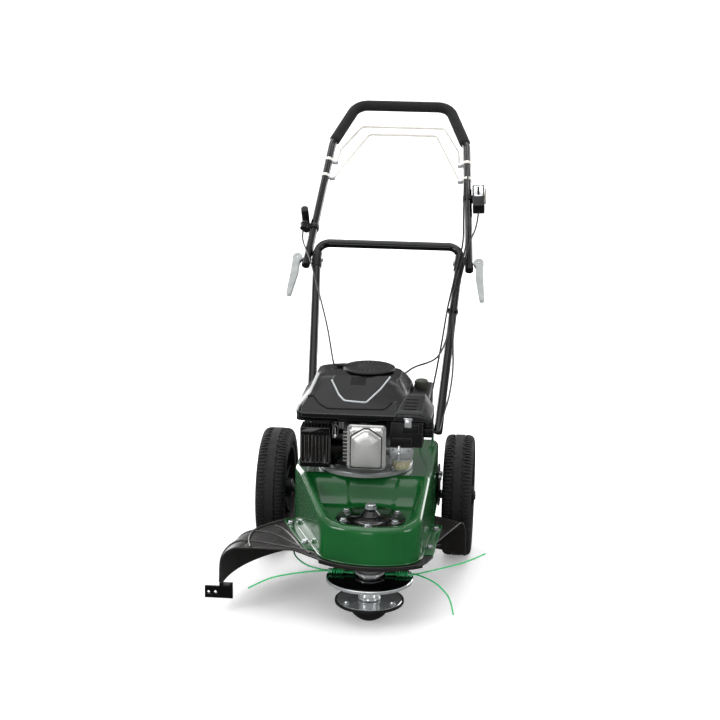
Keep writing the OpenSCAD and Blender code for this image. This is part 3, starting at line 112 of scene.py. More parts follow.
# finishes by the record's slots
finish = {
    # thick glossy enamel, so the rounded pressings carry one long highlight
    "deck_green": surface("green enamel", "#0e5524", "#0b4b1f", (0.22, 0.23), patch=90, grain=25, depth=0.0,
                          Coat_Weight=0.5, Coat_Roughness=0.05, Specular_IOR_Level=0.35),
    # gloss powder coat with a faint orange peel
    "black_paint": surface("black powder coat", "#030304", "#060607", (0.1, 0.18), patch=60, grain=4,
                           depth=0.008, Specular_IOR_Level=0.32, Coat_Weight=0.2, Coat_Roughness=0.04),
    # bright zinc with a faint cloudy spangle
    "zinc": surface("zinc plate", "#d6d9db", "#c3c7c9", (0.14, 0.24), patch=40, grain=3, depth=0.004,
                    Metallic=0.7),
    # bare turned steel, with faint tool marks
    "steel": surface("turned steel", "#a2a5a7", "#7f8385", (0.25, 0.4), patch=14, grain=0.7, depth=0.012,
                     Metallic=1.0),
    # drawn wire, nearly a mirror, with a slight haze
    "bright_wire": surface("bright drawn wire", "#e3e0d8", "#d2cfc7", (0.14, 0.24), patch=12, grain=0.6,
                           depth=0.006, Metallic=0.4),
    # die-cast skin: pale and grainy with darker patches
    "cast_alloy": surface("die-cast aluminium", "#b0b2b3", "#9a9d9e", (0.3, 0.44), patch=45, grain=1.0,
                          depth=0.04, Metallic=0.65),
    # ABS with a fine moulded grain, so each facet keeps a soft sheen
    "grey_shroud": surface("charcoal moulded plastic", "#111112", "#0b0b0c", (0.17, 0.28), patch=50,
                           grain=0.7, depth=0.015, Specular_IOR_Level=0.3),
    # plain moulded nylon, duller than the shroud
    "black_plastic": surface("black moulded plastic", "#0a0a0b", "#111112", (0.36, 0.5), patch=30, grain=0.8,
                             depth=0.04, Specular_IOR_Level=0.3),
    # polyethylene, a little brown, worn smooth by grass
    "guard_plastic": surface("guard plastic", "#171514", "#1f1c1b", (0.3, 0.45), patch=70, grain=1.0,
                             depth=0.05, Specular_IOR_Level=0.3),
    # matt moulded cap
    "olive_plastic": surface("olive cap plastic", "#3a3e34", "#2f322b", (0.4, 0.55), patch=12, grain=0.8,
                             depth=0.04),
    # matt and chalky, so the levers stand out from the black tube
    "pale_plastic": surface("pale lever plastic", "#a9acac", "#969a9a", (0.4, 0.52), patch=25, grain=0.9,
                            depth=0.03),
    # nylon line lets some light through
    "line_green": surface("green nylon line", "#4ad488", "#33bd6e", (0.25, 0.38), patch=8, grain=1.5,
                          depth=0.02, Transmission_Weight=0.25, Subsurface_Weight=0.2,
                          Subsurface_Scale=0.002),
    # pale yellow tint on the silver bowl: a painted reflection of the green deck
    "brass_bowl": surface("bowl with painted reflection tint", "#d6d0b4", "#c0b893", (0.24, 0.36), patch=14, grain=0.9,
                          depth=0.01, Metallic=0.6),
    # glazed and wet looking
    "ceramic_white": surface("plug ceramic", "#dcdbd5", "#cfcdc5", (0.12, 0.2), patch=10, grain=2,
                             depth=0.005, Coat_Weight=0.5),
    # brown and grey from heat
    "exhaust_steel": surface("heat-stained steel", "#2c2826", "#1c1a19", (0.45, 0.65), patch=18, grain=0.8,
                             depth=0.04, Metallic=0.9),
    # open skin of small cells, no shine
    "foam": surface("closed-cell foam", "#0b0b0c", "#121213", (0.8, 0.92), patch=15, grain=1.1, depth=0.35,
                    cells=True),
    # moulded and slightly greasy
    "rubber": surface("moulded rubber", "#0e0e0f", "#181818", (0.5, 0.68), patch=22, grain=0.9, depth=0.05,
                      Specular_IOR_Level=0.3),
    # a little dust sits in the tread
    "tyre": surface("tyre rubber", "#0d0d0e", "#171616", (0.62, 0.82), patch=14, grain=0.7, depth=0.06),
    # sand-cast skin, rough and dark
    "cast_iron": surface("cast iron", "#3a3a3a", "#2a2827", (0.55, 0.7), patch=10, grain=1.3, depth=0.1,
                         Metallic=0.7),
}
# edges rubbed pale, part wear and part painted highlight, so a fine light line follows each of them
edgeWearAndHighlight = {
    "deck_green": surface("green enamel, edges", "#3f8a55", "#24703c", (0.25, 0.4), patch=6, grain=2,
                          depth=0.01),
    "black_paint": surface("black coat, edges", "#2e3032", "#161718", (0.3, 0.5), patch=5, grain=1.5,
                           depth=0.02),
    "guard_plastic": surface("guard plastic, edges", "#3b3836", "#292726", (0.3, 0.45), patch=6, grain=1,
                             depth=0.03),
    "black_plastic": surface("black plastic, edges", "#2b2c2e", "#1b1c1d", (0.35, 0.5), patch=5, grain=1,
                             depth=0.03),
    "grey_shroud": surface("charcoal plastic, edges", "#3a3c3f", "#2a2c2e", (0.35, 0.45), patch=8, grain=1,
                           depth=0.03),
}
# flat silver, so that the outline of the hood reads as one drawn line
trim = surface("silver trim paint", "#c3c6c8", "#b0b4b6", (0.3, 0.42), patch=12, grain=0.8, depth=0.01,
               Metallic=0.6)
# die casting rubbed bright, with a broad soft sheen
polished = surface("rubbed valve cover", "#d9d9d7", "#c9c9c6", (0.2, 0.28), patch=60, grain=2.5,
                   depth=0.008, Metallic=0.7)
# painted highlight: grey on black parts, the muffler guard's lips and the plug's clip wire
paintedHighlightGrey = surface("painted grey highlight", "#6a6762", "#45423f", (0.3, 0.45), patch=6, grain=1, depth=0.02,
                 Metallic=0.6)
# painted shade that darkens a groove
paintedGrooveShade = surface("painted groove shade", "#2b2a28", "#1c1b1a", (0.6, 0.8), patch=8, grain=1, depth=0.03)
# small facets that change tone quickly
boltZinc = surface("bolt zinc", "#c2c5c7", "#a2a6a8", (0.16, 0.28), patch=5, grain=0.7, depth=0.008,
                   Metallic=0.85)
# zinc painted paler, painted light that keeps the turned hub pale under the dark deck
paintedLightHubZinc = surface("hub zinc, painted light", "#f0f2f3", "#dcdfe1", (0.1, 0.2), patch=30, grain=2, depth=0.006, Metallic=0.45)
# soot takes the shine off the fins
sooty = surface("sooty casting", "#3d3c3a", "#2a2928", (0.45, 0.6), patch=20, grain=1, depth=0.05,
                Metallic=0.4)
# painted shade: slots and seams are coloured near black, as they send no light back
paintedSlotShade = surface("painted shade in slots", "#050505", "#0a0a0a", (0.7, 0.9), patch=10, grain=1, depth=0.02)
print("materials made")


# shapes are (points in mm, faces)
def bentPath(points, radius, steps=8, closed=False):
    pts = [Vector(v) for v in points]
    radii = radius if isinstance(radius, list) else [radius] * len(pts)
    count = len(pts)
    line = [] if closed else [pts[0]]
    for i in range(count) if closed else range(1, count - 1):
        before, here, after = pts[i - 1], pts[i], pts[(i + 1) % count]
        way, out = (here - before).normalized(), (after - here).normalized()
        turn = way.angle(out)
        if turn < 0.001:
            line.append(here)
            continue
        start = here - way * radii[i] * math.tan(turn / 2)
        centre = here + (out - way).normalized() * radii[i] / cos(turn / 2)
        axis = way.cross(out)
        line += [centre + Matrix.Rotation(turn * k / steps, 3, axis) @ (start - centre)
                 for k in range(steps + 1)]
    return line if closed else line + [pts[-1]]


def spline(route, steps):
    pts = [Vector(v) for v in route]
    line = []
    for i in range(len(pts) - 1):
        a, b, c, d = pts[max(i - 1, 0)], pts[i], pts[i + 1], pts[min(i + 2, len(pts) - 1)]
        for k in range(steps):
            t = k / steps
            line.append(0.5 * (2 * b + (c - a) * t + (2 * a - 5 * b + 4 * c - d) * t * t
                               + (3 * b - a - 3 * c + d) * t ** 3))
    return line + [pts[-1]]


def spread(line, step):
    gone = [0]
    for a, b in zip(line, line[1:]):
        gone.append(gone[-1] + (b - a).length)
    count = max(2, round(gone[-1] / step))
    even, k = [], 0
    for i in range(count + 1):
        s = gone[-1] * i / count
        while k < len(line) - 2 and gone[k + 1] < s:
            k += 1
        even.append(line[k].lerp(line[k + 1], (s - gone[k]) / max(gone[k + 1] - gone[k], 1e-9)))
    return even


def loft(rings, caps=True, closed=False):
    count = len(rings[0])
    pts = [v for ring in rings for v in ring]
    rows = range(len(rings) if closed else len(rings) - 1)
    faces = [[r * count + k, r * count + (k + 1) % count, (r + 1) % len(rings) * count + (k + 1) % count,
              (r + 1) % len(rings) * count + k] for r in rows for k in range(count)]
    if caps and not closed:
        faces += [list(range(count))[::-1], [(len(rings) - 1) * count + k for k in range(count)]]
    return pts, faces


def sweep(line, radius, sides=16):
    line = [Vector(v) for v in line]
    last = len(line) - 1
    across = (line[1] - line[0]).orthogonal().normalized()
    rings = []
    for i, here in enumerate(line):
        way = (line[min(i + 1, last)] - line[max(i - 1, 0)]).normalized()
        across = (across - way * across.dot(way)).normalized()
        side = way.cross(across)
        r = radius(i / last) if callable(radius) else radius
        rings.append([here + r * (cos(2 * pi * k / sides) * across + sin(2 * pi * k / sides) * side)
                      for k in range(sides)])
    return loft(rings)


# profile is (radius, height) pairs along the axis
def lathe(profile, at=(0, 0, 0), axis=(0, 0, 1), steps=64, closed=False):
    turn = Vector((0, 0, 1)).rotation_difference(Vector(axis)).to_matrix()
    rings = [[Vector(at) + turn @ Vector((r * cos(2 * pi * k / steps), r * sin(2 * pi * k / steps), h))
              for k in range(steps)] for r, h in profile]
    return loft(rings, caps=False, closed=closed)


def block(x0, x1, y0, y1, z0, z1):
    return loft([[(x0, y0, z), (x1, y0, z), (x1, y1, z), (x0, y1, z)] for z in (z0, z1)])


def prism(outline, z0, z1):
    return loft([[(x, y, z) for x, y in outline] for z in (z0, z1)])


def moved(shape, place):
    return [place @ Vector(v) for v in shape[0]], shape[1]


def roundRect(x0, x1, y0, y1, r, n=6):
    r = min(r, (x1 - x0) / 2.02, (y1 - y0) / 2.02)
    mids = ((x1 - r, y1 - r, 0), (x0 + r, y1 - r, 90), (x0 + r, y0 + r, 180), (x1 - r, y0 + r, 270))
    return [(mx + r * cos(radians(d + 90 * k / n)), my + r * sin(radians(d + 90 * k / n)))
            for mx, my, d in mids for k in range(n + 1)]


def softEdges(bm, width, angle=35, segments=2):
    edges = [e for e in bm.edges if len(e.link_faces) == 2 and e.calc_face_angle(0) > radians(angle)]
    bmesh.ops.bevel(bm, geom=edges, offset=width * mm, segments=segments, profile=0.5, affect="EDGES",
                    clamp_overlap=False, material=1)


def meshFrom(bm, name, materials, smooth=38):
    bmesh.ops.recalc_face_normals(bm, faces=bm.faces)
    mesh = bpy.data.meshes.new(name)
    bm.to_mesh(mesh)
    bm.free()
    for m in materials:
        mesh.materials.append(m)
    mesh.shade_smooth()
    mesh.set_sharp_from_angle(angle=radians(smooth))
    return mesh


def place(name, mesh, body, slot, nodes=()):
    obj = bpy.data.objects.new(name, mesh)
    scene.collection.objects.link(obj)
    if body:
        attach(obj, body)
    if nodes:
        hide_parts(*nodes)
    return obj


def piece(name, shapes, body, slot, nodes=(), edge=0, angle=35, segments=2, material=None, smooth=38):
    bm = bmesh.new()
    for points, faces in shapes:
        made = [bm.verts.new(Vector(v) * mm) for v in points]
        for f in faces:
            bm.faces.new([made[i] for i in f])
        bmesh.ops.remove_doubles(bm, verts=made, dist=1e-6)
    first = material or finish[slot]
    if edge:
        softEdges(bm, edge, angle, segments)
    return place(name, meshFrom(bm, name, [first, edgeWearAndHighlight.get(slot, first) if not material else first], smooth),
                 body, slot, nodes)


def turnedPiece(name, profile, body, slot, nodes=(), at=(0, 0, 0), steps=64, closed=False, material=None):
    return piece(name, [lathe(profile, at, (0, 0, 1), steps, closed)], body, slot, nodes, material=material)


# a CAD node with softened edges, and with everything above top pressed flat
def softCopy(name, node, body, slot, edge, angle=35, segments=2, smooth=38, top=None):
    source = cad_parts[node]
    bm = bmesh.new()
    bm.from_mesh(source.data)
    bm.transform(source.matrix_world)
    if top:
        for v in bm.verts:
            v.co.z = min(v.co.z, top * mm)
    bmesh.ops.remove_doubles(bm, verts=bm.verts, dist=2e-6)
    bmesh.ops.dissolve_degenerate(bm, dist=1e-6, edges=bm.edges)
    bmesh.ops.dissolve_limit(bm, angle_limit=radians(1), verts=bm.verts, edges=bm.edges)
    softEdges(bm, edge, angle, segments)
    for f in bm.faces:
        f.material_index = min(f.material_index, 1)
    return place(name, meshFrom(bm, name, [finish[slot], edgeWearAndHighlight.get(slot, finish[slot])], smooth), body, slot,
                 [node])


# geometry nodes for repeated things
def newTree(name, inputs):
    tree = bpy.data.node_groups.new(name, "GeometryNodeTree")
    for label, kind in [("Geometry", "Geometry")] + inputs:
        tree.interface.new_socket(label, in_out="INPUT", socket_type="NodeSocket" + kind)
    tree.interface.new_socket("Geometry", in_out="OUTPUT", socket_type="NodeSocketGeometry")
    return tree, addNode(tree, "NodeGroupInput").outputs


def closeTree(tree, source, geometry):
    real = addNode(tree, "GeometryNodeRealizeInstances", {0: geometry}).outputs[0]
    done = addNode(tree, "GeometryNodeSetMaterial", {"Geometry": real,
                                                     "Material": source["Material"]}).outputs[0]
    addNode(tree, "NodeGroupOutput", {0: done})
    return tree


# washer and hex head on every point, turned to the point's aim
boltSizes = ("Head Radius", "Head Height", "Washer Radius", "Washer Height")
boltTree, source = newTree("bolts", [(label, "Float") for label in boltSizes] + [("Material", "Material")])
shares = (("Washer Height", 0.5), ("Head Height", 0.75), ("Head Height", 0.25), ("Head Radius", 0.82))
washerMid, lowHex, capHex, capRadius = (
    addNode(boltTree, "ShaderNodeMath", {0: source[label], 1: share}, operation="MULTIPLY").outputs[0]
    for label, share in shares)
capFoot = addNode(boltTree, "ShaderNodeMath", {0: source["Washer Height"], 1: lowHex}, operation="ADD")
washer = addNode(boltTree, "GeometryNodeMeshCylinder", {"Vertices": 28, "Radius": source["Washer Radius"],
                                                        "Depth": source["Washer Height"]})
stack = [(washer, washerMid)]
for top, depth, foot in ((source["Head Radius"], lowHex, source["Washer Height"]),
                         (capRadius, capHex, capFoot.outputs[0])):
    cone = addNode(boltTree, "GeometryNodeMeshCone", {"Vertices": 6, "Radius Top": top, "Depth": depth,
                                                      "Radius Bottom": source["Head Radius"]})
    stack.append((cone, foot))
joined = addNode(boltTree, "GeometryNodeJoinGeometry")
for shape, foot in stack:
    lift = addNode(boltTree, "ShaderNodeCombineXYZ", {2: foot}).outputs[0]
    raised = addNode(boltTree, "GeometryNodeTransform", {"Geometry": shape.outputs[0], "Translation": lift})
    boltTree.links.new(raised.outputs[0], joined.inputs[0])
aim = addNode(boltTree, "GeometryNodeInputNamedAttribute", {"Name": "aim"},
              data_type="FLOAT_VECTOR").outputs[0]
turned = addNode(boltTree, "FunctionNodeAlignRotationToVector", {"Vector": aim}, axis="Z").outputs[0]
closeTree(boltTree, source, addNode(boltTree, "GeometryNodeInstanceOnPoints", {
    "Points": source["Geometry"], "Instance": joined.outputs[0], "Rotation": turned}).outputs[0])

# one part repeated round an axis through Centre
ringTree, source = newTree("ring", [("Part", "Object"), ("Count", "Int"), ("Centre", "Vector"),
                                    ("Axis", "Vector"), ("Material", "Material")])
spots = addNode(ringTree, "GeometryNodeMeshLine", {"Count": source["Count"],
                                                   "Start Location": source["Centre"],
                                                   "Offset": (0, 0, 0)}).outputs[0]
stepAngle = addNode(ringTree, "ShaderNodeMath", {0: 2 * pi, 1: source["Count"]},
                    operation="DIVIDE").outputs[0]
index = addNode(ringTree, "GeometryNodeInputIndex").outputs[0]
angle = addNode(ringTree, "ShaderNodeMath", {0: index, 1: stepAngle}, operation="MULTIPLY").outputs[0]
turn = addNode(ringTree, "ShaderNodeVectorMath", {0: source["Axis"], "Scale": angle},
               operation="SCALE").outputs[0]
part = addNode(ringTree, "GeometryNodeObjectInfo", {"Object": source["Part"]}).outputs["Geometry"]
closeTree(ringTree, source, addNode(ringTree, "GeometryNodeInstanceOnPoints", {
    "Points": spots, "Instance": part, "Rotation": turn}).outputs[0])

# one part repeated along a row of rows
rowTree, source = newTree("rows", [("Part", "Object"), ("Count", "Int"), ("Start", "Vector"),
                                   ("Step", "Vector"), ("Rows", "Int"), ("Row Step", "Vector"),
                                   ("Material", "Material")])
part = addNode(rowTree, "GeometryNodeObjectInfo", {"Object": source["Part"]}).outputs["Geometry"]
spots = addNode(rowTree, "GeometryNodeMeshLine", {"Count": source["Count"], "Start Location": source["Start"],
                                                  "Offset": source["Step"]}).outputs[0]
row = addNode(rowTree, "GeometryNodeInstanceOnPoints", {"Points": spots, "Instance": part}).outputs[0]
row = addNode(rowTree, "GeometryNodeRealizeInstances", {0: row}).outputs[0]
rowSpots = addNode(rowTree, "GeometryNodeMeshLine", {"Count": source["Rows"], "Start Location": (0, 0, 0),
                                                     "Offset": source["Row Step"]}).outputs[0]
closeTree(rowTree, source, addNode(rowTree, "GeometryNodeInstanceOnPoints", {
    "Points": rowSpots, "Instance": row}).outputs[0])


def grow(name, tree, values, body, slot, nodes=(), base=None, smooth=38):
    obj = bpy.data.objects.new(name, base or bpy.data.meshes.new(name))
    scene.collection.objects.link(obj)
    change = obj.modifiers.new("grow", "NODES")
    change.node_group = tree
    keys = {i.name: i.identifier for i in tree.interface.items_tree if i.in_out == "INPUT"}
    for label, value in values.items():
        change[keys[label]] = value
    obj.update_tag()
    graph = bpy.context.evaluated_depsgraph_get()
    mesh = bpy.data.meshes.new_from_object(obj.evaluated_get(graph), preserve_all_data_layers=True,
                                           depsgraph=graph)
    obj.modifiers.clear()
    for spare in values.values():
        if isinstance(spare, bpy.types.Object):
            bpy.data.objects.remove(spare)
    bpy.data.objects.remove(obj)
    bm = bmesh.new()
    bm.from_mesh(mesh)
    for f in bm.faces:
        f.material_index = 0
    return place(name, meshFrom(bm, name, [values["Material"]], smooth), body, slot, nodes)


def bolts(name, spots, body, slot, nodes=(), head=(6.9, 5.2), washer=(9, 1.5)):
    base = bpy.data.meshes.new(name)
    base.from_pydata([Vector(s) * mm for s, aim in spots], [], [])
    aims = base.attributes.new("aim", "FLOAT_VECTOR", "POINT")
    aims.data.foreach_set("vector", [c for s, aim in spots for c in aim])
    values = dict(zip(boltSizes, (size * mm for size in head + washer)))
    values["Material"] = boltZinc if slot == "zinc" else finish[slot]
    return grow(name, boltTree, values, body, slot, nodes, base)


def ring(name, shapes, count, centre, axis, body, slot, nodes=(), edge=0, material=None):
    part = piece(name + "Part", shapes, None, None, edge=edge, material=material or finish[slot])
    return grow(name, ringTree, {"Part": part, "Count": count, "Centre": Vector(centre) * mm, "Axis": axis,
                                 "Material": material or finish[slot]}, body, slot, nodes)


def rows(name, shapes, count, start, step, body, slot, nodes=(), rowCount=1, rowStep=(0, 0, 0), edge=0,
         material=None):
    part = piece(name + "Part", shapes, None, None, edge=edge, material=material or finish[slot])
    return grow(name, rowTree, {"Part": part, "Count": count, "Start": Vector(start) * mm,
                                "Step": Vector(step) * mm, "Rows": rowCount, "Row Step": Vector(rowStep) * mm,
                                "Material": material or finish[slot]}, body, slot, nodes)


# sloping planes of the two handle halves, which meet at the fold
fold = dict(x=-32, y=773, z=692, upper=38, lower=47)


def slope(degrees):
    c, s = cos(radians(degrees)), sin(radians(degrees))
    return lambda u, v, w=0: Vector((fold["x"] + u, fold["y"] + v * c - w * s, fold["z"] + v * s + w * c))


upperAt, lowerAt = slope(fold["upper"]), slope(fold["lower"])

# cords: the same routes as the CAD's
cords = {
    "starterRope": dict(node="starter_rope", radius=2.2, slot="black_plastic", route=[
        (-109.2, 264.3, 534), (-114, 266, 535), (-121, 282, 542), (-150, 410, 594), (-190, 560, 651),
        (-228, 700, 699), (-262, 815, 728), (-267, 845, 748), (-266.5, 855.5, 756.5), (-265.5, 866.5, 765)]),
    "throttleCable": dict(node="throttle_cable", radius=2.4, slot="black_plastic", route=[
        (198.9, 924.5, 810.4), (196, 880, 780), (190, 835, 762), (180, 788, 742), (166, 725, 676),
        (150, 660, 597), (152, 600, 540), (158, 500, 475), (156, 380, 440), (150, 260, 428),
        (146, 185, 419), (143.5, 152, 413.4), (137, 146.1, 412.1), (130.9, 146, 412)]),
    "brakeCable": dict(node="brake_cable", radius=2.4, slot="black_plastic", route=[
        (163, 1036, 915), (166, 958, 861), (170, 880, 800), (172, 793, 740), (158, 725, 676), (142, 660, 598),
        (138, 590, 540), (118, 480, 508), (70, 390, 505), (54, 356, 501.2), (50.2, 345.5, 500.2),
        (50, 336.4, 500)]),
    "driveCable": dict(node="drive_cable", radius=2.4, slot="black_plastic", route=[
        (156, 985, 883), (158, 930, 840), (161, 860, 788), (163, 790, 740), (150, 725, 676), (134, 660, 597),
        (124, 590, 520), (108, 500, 420), (88, 430, 345), (85.3, 406, 316), (85, 405, 305.6)]),
}
for name, c in cords.items():
    line = spread(spline(c["route"], 8), 6)
    made = piece(name, [sweep(line, c["radius"], 12)], None, c["slot"], [c["node"]])
    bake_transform(made)

lineRoutes = [
    [(36, 4, 111), (84, 2.6, 113), (100, 2.6, 113), (112, 4.5, 113.5), (160, 34, 117), (215, 67, 123),
     (262, 101, 134)],
    [(36, -4, 111), (84, -2.6, 113), (100, -2.6, 113), (112, -4.5, 113.2), (152, -34, 108), (186, -100, 102),
     (202, -190, 96)],
    [(-36, -4, 111), (-84, -2.6, 113), (-100, -2.6, 113), (-112, -4.5, 113.2), (-165, -20, 111),
     (-222, -46, 106), (-268, -90, 96)],
    [(-36, 4, 111), (-84, 2.6, 113), (-100, 2.6, 113), (-112, 4.5, 113.2), (-152, 34, 112), (-186, 100, 109),
     (-202, 190, 104)]]
for i, route in enumerate(lineRoutes):
    line = spread(spline(route, 8), 4)
    made = piece("trimmerLine%d" % (i + 1), [sweep(line, 1.9, 10)], "head", "line_green", ["trimmer_lines"])
print("cords laid")

# handles: round tube, bent cold, with plugged ends
tubes = dict(radius=11, upper=[(215.6, -25), (187, 425), (130, 580)], lower=[(160, -500), (190.8, 50)],
             upperBend=46, lowerBend=32)


def bothSides(half):
    return half + [(-u, v) for u, v in half[::-1]]


upperLine = bentPath([upperAt(u, v) for u, v in bothSides(tubes["upper"])], tubes["upperBend"], 12)
lowerLine = bentPath([lowerAt(u, v) for u, v in bothSides(tubes["lower"])], tubes["lowerBend"], 12)
piece("upperHandle", [sweep(upperLine, tubes["radius"], 24)], "upper", "black_paint", ["upper_handle"])
piece("lowerHandle", [sweep(lowerLine, tubes["radius"], 24)], "chassis", "black_paint", ["lower_handle"])

# foam sleeve over the top bar and both slants
kneeShare = 0.06
sleeve = [(187 + (130 - 187) * kneeShare, 425 + (580 - 425) * kneeShare), (130, 580)]
sleeveLine = spread(bentPath([upperAt(u, v) for u, v in bothSides(sleeve)], tubes["upperBend"], 12), 5)
sleeveLength = sum((b - a).length for a, b in zip(sleeveLine, sleeveLine[1:]))


def sleeveRadius(t):
    end = min(t, 1 - t) * sleeveLength
    return 15 if end > 4 else 11.5 + 3.5 * math.sqrt(1 - (1 - end / 4) ** 2)


grip = piece("foamGrip", [sweep(sleeveLine, sleeveRadius, 28)], "upper", "foam", ["grip"])

# bails: bent wire, hung under the handle's plane
bails = {
    "brakeBail": dict(node="brake_bail", body="brake", pivot=360, hang=15,
                      half=[(186.2, 0), (168.1, 0), (164.7, 65), (115.3, 199)]),
    "driveBail": dict(node="drive_bail", body="drive", pivot=300, hang=15.5,
                      half=[(190, 0), (171.9, 0), (93.6, 244.9)]),
}
bailWire = dict(radius=3.3, bend=10.5, drop=4.95, sleeveIn=14,
                sleeve=[(3.2, -7), (6.4, -7), (7, -6), (7, 6), (6.4, 7), (3.2, 7)])
for name, b in bails.items():
    c, s = cos(radians(b["hang"])), sin(radians(b["hang"]))
    half = [(u, b["pivot"] + v * c, -bailWire["drop"] - v * s) for u, v in b["half"]]
    route = half + [(-u, v, w) for u, v, w in half[::-1]]
    line = bentPath([upperAt(*spot) for spot in route], bailWire["bend"], 8)
    piece(name, [sweep(line, bailWire["radius"], 14)], b["body"], "bright_wire", [b["node"]])
    # sleeves where the wire turns in the tube
    inset = Vector((bailWire["sleeveIn"], 0, 0))
    sleeves = [lathe(bailWire["sleeve"], end, (1, 0, 0), 24, closed=True)
               for end in (line[0] - inset, line[-1] + inset)]
    piece(name + "Sleeves", sleeves, b["body"], "zinc")

# bright clips round the legs at the bails' pivots
clips = []
for pivot in (300, 360):
    for side in (-1, 1):
        line = [upperAt(side * (214 - 0.0635 * v), v) for v in (pivot - 5, pivot - 4, pivot + 4, pivot + 5)]
        clips.append(sweep(line, lambda t: 11.6 if t in (0, 1) else 12.3, 28))
piece("bailClips", clips, "upper", "bright_wire")

softCopy("throttleBox", "throttle_box", "upper", "black_plastic", 3, segments=3)
# the plate and its slot sit on the box, outside the right leg
throttle = dict(along=229, lean=3.635, plate=roundRect(17, 41, -6, 33, 4),
                slot=roundRect(26, 32, -2, 28, 2.8))


def onLeg(shape):
    c, s = cos(radians(throttle["lean"])), sin(radians(throttle["lean"]))
    u, v = 214 - 27 * throttle["along"] / 425, throttle["along"]
    return [upperAt(u + x * c - y * s, v + x * s + y * c, z) for x, y, z in shape[0]], shape[1]


piece("throttlePlate", [onLeg(prism(throttle["plate"], 17.5, 19.4))], "upper", "zinc", edge=0.6)
# the slot is a near-black sheet, painted shade
piece("throttleSlot", [onLeg(prism(throttle["slot"], 19.2, 19.7))], "upper", "black_plastic", material=paintedSlotShade)
softCopy("throttleLever", "throttle_lever", "throttle", "bright_wire", 0.8)
softCopy("ropeGuide", "rope_guide", "upper", "black_plastic", 0.7)
softCopy("cableTie", "cable_ties", "chassis", "black_plastic", 0.5)
softCopy("leftLever", "left_lever", "left_clamp", "pale_plastic", 2.2, segments=3)
softCopy("rightLever", "right_lever", "right_clamp", "pale_plastic", 2.2, segments=3)
softCopy("clampBolts", "clamp_bolts", "chassis", "zinc", 0.6)
softCopy("starterGrip", "starter_grip", "starter", "black_plastic", 2.0, segments=3)
# the rope's end runs from the guide's eye into the grip, and draws out when the grip is pulled
eye, pull = Vector((-265.9, 861, 760.8)), Vector((0.0634, 0.7864, 0.6144)).normalized()
line = [eye + pull * d for d in range(-4, 31, 2)]
tail = piece("starterRopeEnd", [sweep(line, 2.0, 12)], None, "black_plastic", ["starter_rope"])
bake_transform(tail)
print("starterRopeEnd", 0.034)
# moulded saddles on the lower legs at the fold
saddles = []
for side in (-1, 1):
    saddles.append(sweep([lowerAt(side * (188 + 0.056 * v), v) for v in (-26, -24, 0, 18, 20)],
                         lambda t: 12.4 if t in (0, 1) else 13.2, 24))
piece("foldSaddles", saddles, "chassis", "black_plastic")
print("handles made")

# wheels
wheels = dict(
    y=475, z=153, left=-282, right=182, lugs=50, spokes=10,
    tyre=[(112, 28), (114, 32), (121, 35.2), (133, 36), (141, 35), (146.5, 32), (149, 27)],
    rim=[(103, -33), (111.6, -34), (111.9, -30), (108, -24), (107, 0), (108, 24), (111.9, 30), (111.6, 34),
         (103, 33), (102, 26), (103, 0), (102, -26)],
    hub=[(7.2, -40), (20, -40), (23.4, -38), (24, -35), (24, 35), (23.4, 38), (20, 40), (7.2, 40)],
    blade=[(26, 4.2, 20), (20, 3.5, 45), (20, 3.5, 85), (26, 4.4, 104)])


def tyreShapes(centre):
    side, tread = wheels["tyre"], wheels["tyre"][-1][0]
    profile = [(r, -h) for r, h in side] + [(tread, 0)] + [(r, h) for r, h in side[::-1]]
    shapes = [lathe(profile, centre, (1, 0, 0), 120, closed=True)]
    # plain centre band with wavy edges
    rings = []
    for k in range(300):
        t = 2 * pi * k / 300
        e = 11 + 1.3 * sin(50 * t)
        rings.append([centre + Vector((h, r * sin(t), r * cos(t)))
                      for h, r in ((-e, 148.5), (-e + 1, 152.9), (e - 1, 152.9), (e, 148.5))])
    shapes.append(loft(rings, closed=True))
    # moulding lines on the sidewall
    for side in (-1, 1):
        for r in (120, 139):
            bead = [(r - 1.2, side * 34.4), (r, side * 36.4), (r + 1.2, side * 34.4)]
            shapes.append(lathe(bead, centre, (1, 0, 0), 96, closed=True))
    return shapes


def lug(inner, outer, side, angle):
    rows = []
    for h, r, w in ((inner, 152.6, 2.2), (24, 152.2, 2.4), (30, 150.2, 2.6), (outer, 145, 2.6)):
        rows.append([Matrix.Rotation(angle, 3, "X") @ Vector((side * h, y, z))
                     for y, z in ((-w - 0.5, 143), (-w, r), (w, r), (w + 0.5, 143))])
    return loft(rows)


half = pi / wheels["lugs"]
lugs = [lug(13.5, 34.5, 1, 0), lug(17.5, 35, 1, half), lug(17.5, 35, -1, 0), lug(13.5, 34.5, -1, half)]
blade = loft([[(-w, -t, z), (w, -t, z), (w, t, z), (-w, t, z)] for w, t, z in wheels["blade"]])
for side in ("left", "right"):
    body, tyre, rim = side + "_wheel", [side + "_tyre"], [side + "_rim"]
    centre = Vector((wheels[side], wheels["y"], wheels["z"]))
    piece(side + "Tyre", tyreShapes(centre), body, "tyre", tyre, smooth=50)
    ring(side + "Tread", lugs, wheels["lugs"], centre, (1, 0, 0), body, "tyre", tyre, edge=0.4)
    shapes = [lathe(wheels["rim"], centre, (1, 0, 0), 96, closed=True),
              lathe(wheels["hub"], centre, (1, 0, 0), 48, closed=True)]
    piece(side + "Rim", shapes, body, "black_plastic", rim)
    ring(side + "Spokes", [blade], wheels["spokes"], centre, (1, 0, 0), body, "black_plastic", rim, edge=1.2)
softCopy("axleShaft", "axle", "chassis", "steel", 0.8)
softCopy("axleBrackets", "axle_brackets", "chassis", "black_paint", 0.8)
print("wheels made")

